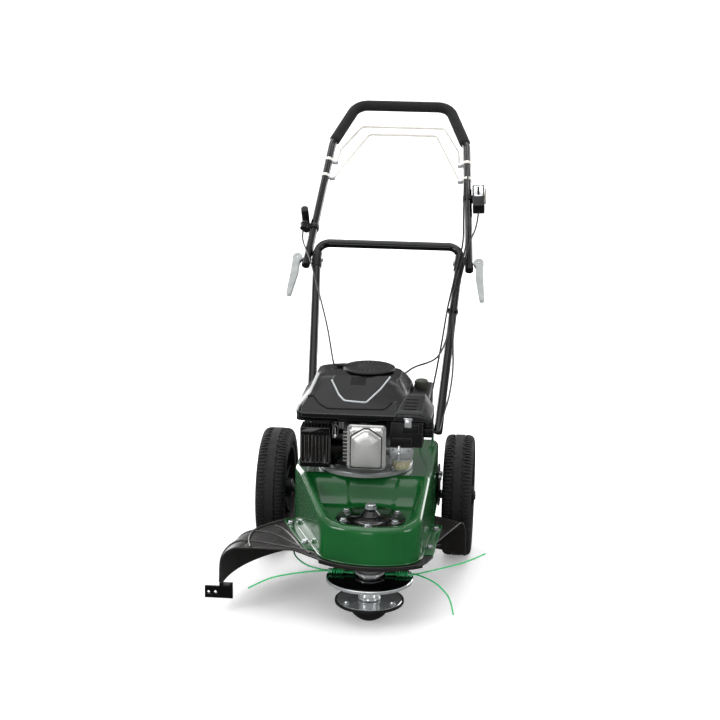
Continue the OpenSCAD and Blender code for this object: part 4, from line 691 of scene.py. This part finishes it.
# deck: one pressed skin, rounded at the top edge
deck = dict(low=160, nose=243, rail=248, plate=305, ramp=(84, 138), roll=13, sheet=3, step=6,
            railRun=(-60, 138), railWide=14, railSoft=20)
arc = [(6 + 192.2 * cos(radians(d)), 104.2 + 192.2 * sin(radians(d)), 0)
       for d in (-125.6, -108, -90, -72, -54.4)]
corners = [(-200, 455, 0), (-200, 190, 0)] + arc + [(130, 190, 0), (130, 455, 0)]
edge = bentPath(corners, [22, 70, 70, 150, 150, 150, 70, 70, 22], 10, closed=True)
edge = spread(edge + [edge[0]], deck["step"])[:-1]
inward = []
for i, here in enumerate(edge):
    way = (edge[(i + 1) % len(edge)] - edge[i - 1]).normalized()
    inward.append(Vector((-way.y, way.x, 0)))


def ease(t):
    t = max(0.0, min(1.0, t))
    return t * t * (3 - 2 * t)


def insidePocket(x, y, corners, soft):
    depth = 1e9
    for (ax, ay), (bx, by) in zip(corners, corners[1:] + corners[:1]):
        length = math.hypot(bx - ax, by - ay)
        depth = min(depth, ((bx - ax) * (y - ay) - (by - ay) * (x - ax)) / length)
    return ease(depth / soft)


# pressed recesses on the ramp
pockets = [dict(corners=[(-62, 88), (48, 88), (58, 132), (-72, 132)], depth=5, soft=8)]


# side rails slope from the plate to the nose, the middle is pressed down to the ramp and the nose's floor
def deckTop(x, y, inset):
    low, high = deck["ramp"]
    floorZ = deck["nose"] + (deck["plate"] - deck["nose"]) * ease((y - low) / (high - low))
    floorZ -= sum(p["depth"] * insidePocket(x, y, p["corners"], p["soft"]) for p in pockets)
    low, high = deck["railRun"]
    t = max(0.0, min(1.0, (y - low) / (high - low)))
    rail = deck["rail"] + (deck["plate"] - deck["rail"]) * t
    return floorZ + max(0.0, rail - floorZ) * (1 - ease((inset - deck["railWide"]) / deck["railSoft"]))


rings = [[Vector((v.x, v.y, deck["low"])) for v in edge]]
for k in range(8):
    turn = pi / 2 * k / 7
    inset, fall = deck["roll"] * (1 - cos(turn)), deck["roll"] * (1 - sin(turn))
    ringNow = [v + n * inset for v, n in zip(edge, inward)]
    rings.append([Vector((v.x, v.y, deckTop(v.x, v.y, inset) - fall)) for v in ringNow])
shell, faces = loft(rings, caps=False)
rimStart = len(shell) - len(edge)
rim2d = [Vector((v.x, v.y)) for v in shell[rimStart:]]
grid, insets = [], [deck["roll"]] * len(rim2d)
for i in range(-50, 34):
    for j in range(-24, 114):
        spot = Vector((i * 4.0, j * 4.0))
        near = min((r - spot).length for r in rim2d)
        if near > 3:
            grid.append(spot)
            insets.append(deck["roll"] + near)
outPoints, _, outFaces, fromPoints = delaunay_2d_cdt(
    rim2d + grid, [(k, (k + 1) % len(rim2d)) for k in range(len(rim2d))], [], 1, 1e-6)[:4]
top = ([Vector((v.x, v.y, deckTop(v.x, v.y, insets[origin[0]] if origin else deck["roll"])))
        for v, origin in zip(outPoints, fromPoints)], [list(f) for f in outFaces])
bm = bmesh.new()
for points, some in ((shell, faces), top):
    made = [bm.verts.new(Vector(v) * mm) for v in points]
    for f in some:
        bm.faces.new([made[i] for i in f])
bmesh.ops.remove_doubles(bm, verts=bm.verts, dist=2e-5)
bmesh.ops.recalc_face_normals(bm, faces=bm.faces)
if max(bm.faces, key=lambda f: f.calc_center_median().z).normal.z < 0:
    bmesh.ops.reverse_faces(bm, faces=bm.faces)
skin = bpy.data.meshes.new("deckSkin")
bm.to_mesh(skin)
bm.free()
solid = bpy.data.objects.new("deckSkin", skin)
scene.collection.objects.link(solid)
wall = solid.modifiers.new("sheet", "SOLIDIFY")
wall.thickness, wall.offset = deck["sheet"] * mm, -1
graph = bpy.context.evaluated_depsgraph_get()
thick = bpy.data.meshes.new_from_object(solid.evaluated_get(graph), depsgraph=graph)
bpy.data.objects.remove(solid)
bm = bmesh.new()
bm.from_mesh(thick)
place("deckSkin", meshFrom(bm, "deckSkin", [finish["deck_green"]], 50), "chassis", "deck_green", ["deck"])


# the sides in plan run straight from the nose to the rear part
plan = dict(noseY=-52, noseMid=6, noseHalf=112, rearY=190, rearMid=-35, rearHalf=165)


def deckSide(side, y):
    t = min(1.0, (y - plan["noseY"]) / (plan["rearY"] - plan["noseY"]))
    nose, rear = plan["noseMid"] + side * plan["noseHalf"], plan["rearMid"] + side * plan["rearHalf"]
    return nose * (1 - t) + rear * t


flange = dict(low=160, top=163, out=24)
flanges = []
for side in (-1, 1):
    inner = [(deckSide(side, y) - side * 2, y) for y in (-3.6, 100, 190, 214)]
    outer = [(deckSide(side, y) + side * flange["out"], y) for y in (205, 190, 100, 4)]
    outline = inner + outer
    flanges.append(prism(outline if side > 0 else outline[::-1], flange["low"], flange["top"]))
piece("deckFlanges", flanges, "chassis", "deck_green", ["deck"], edge=0.9)
# upright ears for the handle, rounded over the bolt
ear = dict(middle=-32, out=149, y=432, z=326.3, r=23, foot=296, sheet=4)
outline = [(ear["y"] - ear["r"], ear["foot"]), (ear["y"] + ear["r"], ear["foot"])]
outline += [(ear["y"] + ear["r"] * cos(radians(d)), ear["z"] + ear["r"] * sin(radians(d)))
            for d in range(0, 181, 15)]
ears = []
for side in (-1, 1):
    x = ear["middle"] + side * ear["out"]
    ears.append(loft([[(x - side * t, y, z) for y, z in outline] for t in (0, ear["sheet"])]))
piece("handleEars", ears, "chassis", "deck_green", ["deck"], edge=0.8)
softCopy("guardShell", "guard", "chassis", "guard_plastic", 0.9, top=160)
softCopy("endBracket", "end_bracket", "chassis", "black_paint", 0.9)
web = prism([(100, -40), (112, -67), (124, -60), (133, -42), (146, -2), (120, 6)], 156.2, 159.8)
piece("guardWeb", [web], "chassis", "guard_plastic", ["guard"], edge=0.8)
# rolled bead along the deck's lower edge
bead = [Vector((v.x, v.y, deck["low"] + 2.4)) - Vector((n.x, n.y, 0)) * 1.2 for v, n in zip(edge, inward)]
piece("deckBead", [sweep(bead + bead[:1], 2.2, 10)], "chassis", "deck_green", ["deck"])

# ribs of the left wing in plan: two fan out from the nose and go down the rounded edge, one crosses them,
# and one follows the flange
wing = dict(top=160, flat=304, out=350, low=70)
wingRuns = [
    ([(-124, -26), (-143, -6), (-181, 12), (-219, 27), (-253, 39), (-281, 45), (-301, 46)], (171.4, 178.8)),
    ([(-162, 14), (-192, 52), (-229, 92), (-258, 110), (-283, 114)], (158.2, 163)),
    ([(-218, 206), (-242, 183), (-266, 156), (-284, 126), (-290, 84), (-288, 48), (-278, 6)], None),
    ([(-243, 159), (-221, 139), (-199, 103), (-179, 59), (-161, 15), (-136, -20)], None)]


def downEdge(first, last):
    bend = wing["out"] - wing["flat"]
    side = [(wing["flat"] + bend * sin(radians(t)), wing["top"] - bend + bend * cos(radians(t)))
            for t in range(9, 91, 9)]
    side += [(wing["out"], 100), (wing["out"], wing["low"])]
    turns = [radians(first + (last - first) * k / (len(side) - 1)) for k in range(len(side))]
    return [Vector((r * cos(d), r * sin(d), z)) for d, (r, z) in zip(turns, side)]


ribs = []
for run, turns in wingRuns:
    line = spline([(x, y, wing["top"]) for x, y in run], 6)
    ribs.append(sweep(line + downEdge(*turns) if turns else line, lambda t: 3 * min(1, 0.3 + 20 * t), 10))
# the ribs take the pale edge colour all over, a painted highlight along each rib
piece("wingRibs", ribs, "chassis", "guard_plastic", ["guard"], material=edgeWearAndHighlight["guard_plastic"])
print("deck made")

# spindle cover with a pressed dish
dish = [(0, 268), (9, 268), (10, 267.4), (22, 254.6), (26, 253), (46, 252.4), (51, 250.6), (55, 247.8),
        (59, 247), (77, 247), (79.4, 246.2), (80, 245), (80, 243.2), (0, 243.2)]
turnedPiece("spindleCover", dish, "chassis", "black_paint", ["spindle_cover"], steps=96)
bolts("spindleNut", [((0, 0, 268), (0, 0, 1))], "chassis", "zinc", head=(12, 9), washer=(14, 2))
spots = [((68 * cos(radians(90 + 60 * i)), 68 * sin(radians(90 + 60 * i)), 247), (0, 0, 1)) for i in range(6)]
flangeSpots = ((-155.6, 44.8), (-205.4, 173.1), (134.8, 44.8), (141.2, 173.1))
spots += [((x, y, flange["top"]), (0, 0, 1)) for x, y in flangeSpots]
spots += [((x, y, 317), (0, 0, 1)) for x in (39.3, -103.3) for y in (143.7, 286.3)]
spots += [((-32 + s * 144.6, 432, 326.3), (-s, 0, 0)) for s in (-1, 1)]
spots += [((-35 + s * 170, y, 219.8), (s, 0, 0)) for s in (-1, 1) for y in (396.8, 433.5)]
bolts("deckBolts", spots, "chassis", "zinc", ["deck_bolts"])

# engine: barrel block with its base flange, fins in front
crank = (-32, 215, 0)
case = [(0, 305.2), (110, 305.2), (112, 307), (112, 315), (110, 317), (80, 317.5), (74, 321), (72, 328),
        (72, 434), (0, 434)]
turnedPiece("crankcase", case, "chassis", "cast_alloy", ["engine_block"], crank, steps=96)
valve = dict(x=-19.5, z=387, halfW=45, halfH=53, back=88, core=30.7, coreHigh=30.6)
core = block(valve["x"] - valve["core"], valve["x"] + valve["core"], valve["back"], 215,
             valve["z"] - valve["coreHigh"], valve["z"] + valve["coreHigh"])
stub = lathe([(0, 0), (11, 0), (11, 60), (0, 60)], (valve["x"], 137, 366), (1, 0, 0), 32)
piece("barrelCore", [core, stub], "chassis", "cast_alloy", ["engine_block"], edge=2)
fin = prism(roundRect(-55, 41, -40.8, 40.8, 5), 0, 2.6)
fin = moved(fin, Matrix.Rotation(radians(90), 3, "X"))
rows("fins", [fin], 6, (valve["x"], 91, valve["z"]), (0, 11, 0), "chassis", "cast_alloy", ["engine_block"],
     edge=0.6, material=sooty)
rows("finEdges", [block(-55, -41, -1.2, 1.6, -1.1, 1.1)], 9, (valve["x"], 89, 352), (0, 0, 8.6), "chassis",
     "cast_alloy", edge=0.4)

# valve cover: flanged pan with a house-shaped raised panel
outer = roundRect(-valve["halfW"], valve["halfW"], -valve["halfH"], valve["halfH"], 9)
house = [(-0.74, -0.8), (0.74, -0.8), (0.74, 0.5), (0.14, 0.84), (-0.14, 0.84), (-0.74, 0.5)]
house = bentPath([(valve["halfW"] * x, valve["halfH"] * z, 0) for x, z in house], 6, 5, closed=True)
house = [(v.x, v.y) for v in house]


def upright(shape):
    return [Vector((valve["x"] + v[0], valve["back"] - v[2], valve["z"] + v[1])) for v in shape[0]], shape[1]


# sections are (height, share of the outline)
def stepped(outline, sections, caps=True):
    return upright(loft([[(x * s, y * s, d) for x, y in outline] for d, s in sections], caps))


pan = stepped(outer, [(0, 1), (4, 1), (5, 0.985), (6, 0.9), (14, 0.86), (16, 0.82)])
panel = stepped(house, [(12, 1.06), (17, 1.05), (19, 1.02), (20.4, 0.95), (21.4, 0.8), (22, 0.5),
                        (22.2, 0.15)])
groove = stepped(house, [(15, 1.12), (16.3, 1.12), (16.3, 1.04), (15, 1.04)], caps=False)
piece("valveCover", [pan, panel], "chassis", "cast_alloy", ["valve_cover"], material=polished)
# a dark ring in the groove round the panel, painted shade
piece("coverGroove", [groove], "chassis", "cast_alloy", material=paintedGrooveShade)
spots = [((valve["x"] + sx * 38.7, 82.5, valve["z"] + sz * 46.6), (0, -1, 0)) for sx in (-1, 1)
         for sz in (-1, 1)]
bolts("valveScrews", spots, "chassis", "zinc", ["cover_screws"], head=(4.6, 3.6), washer=(5.4, 1))

# blower shroud: rounded sections from the skirt to the crown
frontShares = [(0, 0), (0, 0.34), (0.09, 0.6), (0.14, 0.94), (0.25, 1)]
rightShares = [(1, 0), (1, 0.55), (0.9, 0.88), (0.76, 1)]
foreShares = [(0.1, 0), (0, 0.26), (0.05, 0.36), (0.42, 0.93), (0.52, 1)]
rearShares = [(1, 0), (1, 0.78), (0.86, 1)]


def shareAt(shares, h):
    for (a, low), (b, high) in zip(shares, shares[1:]):
        if h <= high:
            return a + (b - a) * (h - low) / (high - low)
    return shares[-1][0]


shroud = dict(x=-190, y=112, z=432, w=262, l=224, h=98)
sections = []
for h in (0, 0.13, 0.26, 0.36, 0.48, 0.6, 0.7, 0.78, 0.88, 0.94, 1.0):
    x0, x1 = (shroud["x"] + shroud["w"] * shareAt(s, h) for s in (frontShares, rightShares))
    y0, y1 = (shroud["y"] + shroud["l"] * shareAt(s, h) for s in (foreShares, rearShares))
    outline = roundRect(x0, x1, y0, y1, 18 + 10 * h, 2)
    sections.append([(x, y, shroud["z"] + shroud["h"] * h) for x, y in outline])
piece("blowerShroud", [loft(sections)], "chassis", "grey_shroud", ["blower_shroud"], edge=1.6, angle=20,
      smooth=24)

# lip along the lower front, drawn up at both ends: x, top and low
lipRuns = [(-176, 470, 448), (-165, 486, 447), (-152, 487, 446), (-134, 473, 446), (-116, 466, 446),
           (-92, 466, 446), (-87, 466, 442), (1, 467, 442), (6, 467, 446), (18, 468, 446), (34, 480, 446),
           (44, 484, 447)]
lip = []
for x, high, low in lipRuns:
    y = shroud["y"] + shroud["l"] * shareAt(foreShares, (high - shroud["z"]) / shroud["h"])
    lip.append([(x, 128, low), (x, 110, low), (x, 108.6, 457), (x, y - 3.2, high), (x, y + 6, high)])
piece("shroudLip", [loft(lip)], "chassis", "grey_shroud", edge=1.4, angle=25, segments=3)
# a near-black sweep along the seam, painted shade in the groove
seam = [Vector(row[3]) + Vector((0, 0.6, 1.6)) for row in lip[1:-1]]
piece("lipSeam", [sweep(spread(seam, 4), 1.7, 8)], "chassis", "grey_shroud", material=paintedSlotShade)

# hood line on the slope of the shroud
hoodLine = [Vector(v) for v in ((-113.5, 194.5, 515.4), (-92.6, 157.4, 490.3), (-78, 142.4, 480.2),
                                (-27.3, 139.1, 478), (4.2, 176.1, 502.9), (23.3, 207.2, 523.9))]
lift = Vector((0, -55.9, 82.9)).normalized()
line = bentPath([v + lift * 0.4 for v in hoodLine], 9, 6)
piece("hoodTrim", [sweep(spread(line, 4), 2.7, 10)], "chassis", "grey_shroud", material=trim)
slopeWay = Vector((0, 82.9, 55.9)).normalized()
top = [hoodLine[-1] + slopeWay * 4, hoodLine[0] + slopeWay * 16]
middle = sum(hoodLine, Vector()) / len(hoodLine)
rimLine = bentPath([v.lerp(middle, 0.035) for v in hoodLine + top], 7, 5, closed=True)
panel = [[v.lerp(middle, share) + lift * rise for v in rimLine]
         for share, rise in ((0, -1), (0, 1.6), (0.02, 2.6), (0.05, 3.0))]
piece("hoodPanel", [loft(panel)], "chassis", "grey_shroud", smooth=8)
slat = moved(block(-17.5, 17.5, -1.6, 1.6, -1, 0.4), Matrix.Rotation(radians(34), 3, "X"))
# the vents are near-black slats, painted shade in the openings
rows("hoodVents", [slat], 5, Vector((-50, 184, 508.4)) + lift * 3.1, slopeWay * 5.2, "chassis", "grey_shroud",
     material=paintedSlotShade)
skirt = []
for z, out in ((431, -1), (431, 1.2), (438, 1.2), (439, 0.2)):
    skirt.append([(x, y, z) for x, y in roundRect(-190 - out, 72 + out, 136 - out, 336 + out, 17, 8)])
piece("shroudSkirt", [loft(skirt, caps=False)], "chassis", "black_plastic")
recoil = dict(at=(-32, 264.3, 0), profile=[(0, 536.4), (20, 536.2), (24, 535), (50, 535), (58, 534.6),
                                           (62, 533), (63, 531.6), (63, 530.2), (0, 530.2)])
spout = lathe([(2.4, 0), (3.4, 0), (3.9, 0.6), (3.9, 30), (2.4, 30)], (-108.9, 264.3, 534), (1, 0, 0), 24,
              closed=True)
piece("recoilCover", [lathe(recoil["profile"], recoil["at"], (0, 0, 1), 72), spout], "chassis",
      "black_plastic", ["recoil_cover"])
# the slots are near-black blocks, painted shade
ring("recoilSlots", [block(28, 46, -1.7, 1.7, -1, 0.35)], 24, (-32, 264.3, 535.1), (0, 0, 1), "chassis",
     "black_plastic", material=paintedSlotShade)

softCopy("fuelTank", "fuel_tank", "chassis", "black_plastic", 5, segments=3)
cap = dict(at=(92.7, 285.5, 480.4), ribs=28,
           profile=[(0, 21.4), (8, 21.4), (13, 20.6), (15.2, 18.6), (15.8, 15), (16.2, 2), (15.4, 0),
                    (11.5, 0)])
turnedPiece("fuelCap", cap["profile"], "filler_cap", "olive_plastic", ["fuel_cap"], cap["at"])
ring("fuelCapRibs", [block(15.4, 16.9, -0.9, 0.9, 1.5, 16.5)], cap["ribs"], cap["at"], (0, 0, 1),
     "filler_cap", "olive_plastic", ["fuel_cap"], edge=0.4)
# air cleaner: the lid slopes to the front and its left side runs back to the right
airLid = dict(left=31, right=131, low=441,
              steps=[(112.4, 0, 458, 8), (114, 0, 464, 5), (118, 2, 468, 3), (146, 15, 484, 0),
                     (164, 25, 496, 0), (176, 30, 498, 0), (180, 32, 494, 3)])
lid = []
for y, cut, high, tuck in airLid["steps"]:
    x0, x1, z0 = airLid["left"] + cut + tuck, airLid["right"] - tuck, airLid["low"] + tuck * 0.4
    corners = [(x0, z0), (x1, z0), (x1, z0 + 0.45 * (high - z0)), (x1 - 22, high - 1), (x1 - 30, high),
               (x0 + 12, high), (x0, high - 9)]
    lid.append([(x, y, z) for x, z in corners])
piece("airCleanerCover", [loft(lid)], "chassis", "black_plastic", ["air_cleaner_cover"], edge=2.2, angle=14,
      segments=3, smooth=30)
airBox = [(33, 108, 116, 178, 380.5, 440.6), (36, 84, 113.4, 116.4, 386, 404),
          (60, 100, 112.8, 116.4, 414, 437), (104, 130.6, 143, 149, 405, 419),
          (108, 130, 150, 178, 396, 440.6)]
piece("airBox", [block(*box) for box in airBox], "chassis", "black_plastic", ["air_box"], edge=1.6)
rows("airBoxRibs", [block(-1.1, 1.1, -1.4, 1, 388, 402)], 10, (40, 113.4, 0), (4.4, 0, 0), "chassis",
     "black_plastic", edge=0.4)
airClip = [(66, 82, 110.4, 113, 430, 452), (64, 84, 109.6, 112, 448, 453)]
piece("airLidClip", [block(*box) for box in airClip], "chassis", "zinc", edge=0.7)
slat = moved(block(-15, 15, -1.1, 1.1, -1.5, 1.0), Matrix.Rotation(math.atan2(16, 28), 3, "X"))
rows("airCoverRibs", [slat], 4, (76, 124, 472), (2, 9, 5.2), "chassis", "black_plastic", edge=0.5)
softCopy("carburettor", "carburettor", "chassis", "cast_alloy", 1.6)
spots = [((x, 112, z), (0, -1, 0)) for x in (40, 77) for z in (357, 375)]
bolts("carbScrews", spots, "chassis", "zinc", head=(2.6, 2.2), washer=(3.2, 0.5))
choke = [block(52, 57, 108.5, 110.5, 352, 386),
         lathe([(0, 0), (4, 0), (4, 5), (0, 5)], (54.5, 112, 366), (0, -1, 0), 20)]
piece("chokeLever", choke, "chassis", "zinc", edge=0.5)
bowl = dict(at=(58.5, 137, 0), cup=[(0, 318.2), (4, 318.2), (5, 319), (5.6, 321), (13, 321.6), (18, 324),
                                    (20.8, 330), (21.4, 336), (21.4, 350.6), (20, 352), (0, 352)],
            band=[(21, 346), (23, 346), (23.4, 347), (23.4, 351), (22.6, 352), (21, 352)])
# the bowl's pale yellow tint is a painted reflection of the deck
turnedPiece("carbBowl", bowl["cup"], "chassis", "brass_bowl", ["carb_bowl"], bowl["at"], steps=48)
turnedPiece("bowlBand", bowl["band"], "chassis", "zinc", at=bowl["at"], steps=48, closed=True)
softCopy("mufflerCan", "muffler", "chassis", "exhaust_steel", 2)
softCopy("mufflerGuard", "muffler_guard", "chassis", "black_paint", 1.4)
punch = lathe([(0, 0.2), (2.4, 0.2), (2.6, -0.6), (0, -0.6)], steps=16)
# the punched holes are near-black discs, painted shade
rows("mufflerPunch", [punch], 8, (-169, 113, 423.1), (8, 0, 0), "chassis", "black_paint", rowCount=5,
     rowStep=(0, 9, 0), material=paintedSlotShade)
# the lips are coloured pale grey, a painted highlight on the black guard
rows("mufflerLips", [block(-0.7, 0.7, -1.1, 0.6, 341, 404)], 9, (-174.2, 106, 0), (8.5, 0, 0), "chassis",
     "black_paint", edge=0.4, material=paintedHighlightGrey)
piece("plugBaffle", [block(-112, -62, 150, 152, 322, 431)], "chassis", "black_paint", edge=0.6)
softCopy("sparkPlug", "spark_plug", "chassis", "ceramic_white", 0.6)
softCopy("plugLead", "plug_lead", "chassis", "black_plastic", 0.3)
boot = sweep([(x, 119.8, 400) for x in (-97, -90, -83, -78)], lambda t: 7.6 + 1.4 * t, 20)
piece("plugBoot", [boot], "chassis", "black_plastic", edge=1)
terminal = [(0, -3), (3, -2.6), (4.2, 0), (3.6, 3), (1.2, 5), (1.2, 22), (0, 22.4)]
turnedPiece("plugTerminal", terminal, "chassis", "zinc", at=(-94, 102, 405), steps=24)
loop = [(-99.5, 103, 400), (-100, 103, 416), (-98, 104, 428), (-93, 105, 432), (-88.5, 104, 427),
        (-88, 103, 414), (-90, 104, 402)]
# the clip wire is coloured grey all over, a painted highlight on a black wire
piece("plugClipWire", [sweep(spline(loop, 8), 1.3, 10)], "chassis", "black_plastic", material=paintedHighlightGrey)
print("engine made")

# line head and foot
headParts = {
    "lineDisc": dict(slot="black_paint", nodes=["line_disc"], steps=128, profile=[
        (12.6, 103.2), (92, 103.2), (97, 101.5), (98.6, 99.2), (100, 99.2), (99.4, 103), (96, 106),
        (90, 107), (12.6, 107)]),
    "discRim": dict(slot="zinc", nodes=["line_disc"], steps=128, profile=[
        (97.4, 96.4), (100.3, 96.4), (100.5, 102), (99.2, 103.4)]),
    # the hub uses the paler zinc, painted light
    "lineHub": dict(slot="zinc", nodes=["line_hub"], material=paintedLightHubZinc, profile=[
        (12.6, 107), (25, 107), (25, 112), (33, 112.6), (34.6, 113.6), (34.6, 117), (33.4, 118), (21, 118),
        (20, 119.5), (12.6, 119.5)]),
}
for name, part in headParts.items():
    turnedPiece(name, body="head", closed=True, **part)
softCopy("lineEyelets", "line_eyelets", "head", "zinc", 0.6)
softCopy("spindleShaft", "spindle", "head", "steel", 0.8)
softCopy("footBolts", "foot_bolts", "foot", "zinc", 0.5)
footDisc = [(0, 44.1), (75, 44.1), (76, 45), (76, 48), (75, 49), (14, 49), (0, 49)]
turnedPiece("footDisc", footDisc, "foot", "zinc", ["foot_disc"], steps=96)
softCopy("footCup", "foot_cup", "foot", "rubber", 1.2, segments=3)
collar = [(12.6, 51), (25, 51), (26, 52), (26, 56), (25, 57.4), (23.4, 58), (23.4, 98.6), (12.6, 98.6)]
# the collar uses the paler zinc, painted light
turnedPiece("spindleCollar", collar, "head", "zinc", closed=True, material=paintedLightHubZinc)
knots = []
for side in (-1, 1):
    turns = [Vector((side * (60 + 36 * k / 60), 7 * cos(k * 0.62), 113 + 4.5 * sin(k * 0.62)))
             for k in range(61)]
    knots.append(sweep(turns, 1.9, 8))
piece("lineTurns", knots, "head", "line_green", ["trimmer_lines"])
print("head made")

# what stays hidden inside keeps its CAD shape
inside = {"spindle_housing": "cast_alloy", "crankshaft": "steel", "flywheel": "cast_iron",
          "engine_pulley": "steel", "spindle_pulley": "steel", "drive_belt": "rubber", "idler_arm": "zinc",
          "idler_pulley": "black_plastic"}
for node, slot in inside.items():
    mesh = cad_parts[node].data
    mesh.materials.clear()
    mesh.materials.append(finish[slot])

# studio: white sweep, softboxes overhead and behind, strips at the front, rims at the back
sweepLine = [(0, -9, 0), (0, 5, 0), (0, 8, 0), (0, 8, 9)]
sweepLine = [tuple(v) for v in bentPath(sweepLine, 2.9, 16)]
floorMesh = bpy.data.meshes.new("floor")
floorMesh.from_pydata([(x, y, z) for _, y, z in sweepLine for x in (-14, 14)], [],
                      [(2 * k, 2 * k + 1, 2 * k + 3, 2 * k + 2) for k in range(len(sweepLine) - 1)])
# white paper that glows a little, so that the shadow stays pale
paper = surface("pale floor", "#f4f4f4", "#f0f0f0", (0.75, 0.85), patch=400, grain=4, depth=0.02,
                Emission_Strength=0.22)
floorMesh.materials.append(paper)
floorMesh.shade_smooth()
floor = bpy.data.objects.new("floor", floorMesh)
scene.collection.objects.link(floor)
floor.visible_glossy = False
world = bpy.data.worlds.new("studio")
world.use_nodes = True
# dim at the horizon and bright overhead, so bare metal and gloss black get contrast
sky = world.node_tree
where = addNode(sky, "ShaderNodeTexCoord").outputs["Generated"]
height = addNode(sky, "ShaderNodeSeparateXYZ", {0: where}).outputs[2]
glow = addNode(sky, "ShaderNodeMapRange", {"Value": height, "From Min": 0.1, "From Max": 0.8, "To Min": 0.1,
                                           "To Max": 0.7})
shiny = addNode(sky, "ShaderNodeLightPath").outputs["Is Glossy Ray"]
strength = addNode(sky, "ShaderNodeMix", {0: shiny, 2: 0.7, 3: glow.outputs[0]}, data_type="FLOAT")
sky.links.new(strength.outputs[0], sky.nodes["Background"].inputs[1])
sky.nodes["Background"].inputs[0].default_value = linear("#ffffff")
scene.world = world
lights = {
    "overhead": dict(at=(-0.5, -0.6, 3.4), size=3.0, power=36, aim=(0, 0.3, 0.45)),
    "left strip": dict(at=(-3.0, -2.2, 1.9), size=1.4, power=46, aim=(0, 0.3, 0.45)),
    "right strip": dict(at=(3.2, -1.6, 1.6), size=1.2, power=26, aim=(0, 0.3, 0.45)),
    "back": dict(at=(0.4, 4.2, 3.4), size=3.0, power=44, aim=(0, 0.3, 0.45)),
    "wall wash": dict(at=(0, 2.6, 5.5), size=4.0, power=330, aim=(0, 8, 2.2)),
    "left rim": dict(at=(-3.6, 4.6, 1.9), size=3.6, power=230, aim=(0, 0.3, 0.3)),
    "right rim": dict(at=(3.4, 4.4, 1.7), size=2.6, power=120, aim=(0, 0.3, 0.3)),
    "low front": dict(at=(-0.6, -3.6, 0.35), size=1.2, power=14, aim=(0, 0, 0.12)),
}
for name, light in lights.items():
    data = bpy.data.lights.new(name, "AREA")
    data.size, data.energy = light["size"], light["power"]
    lamp = bpy.data.objects.new(name, data)
    lamp.location = light["at"]
    # the back softbox leaves no reflection, the rims only draw highlights along the edges
    lamp.visible_glossy, lamp.visible_diffuse, lamp.visible_camera = name != "back", "rim" not in name, False
    lamp.rotation_euler = (Vector(light["aim"]) - Vector(light["at"])).to_track_quat("-Z", "Y").to_euler()
    scene.collection.objects.link(lamp)
scene.view_settings.view_transform = "Standard"
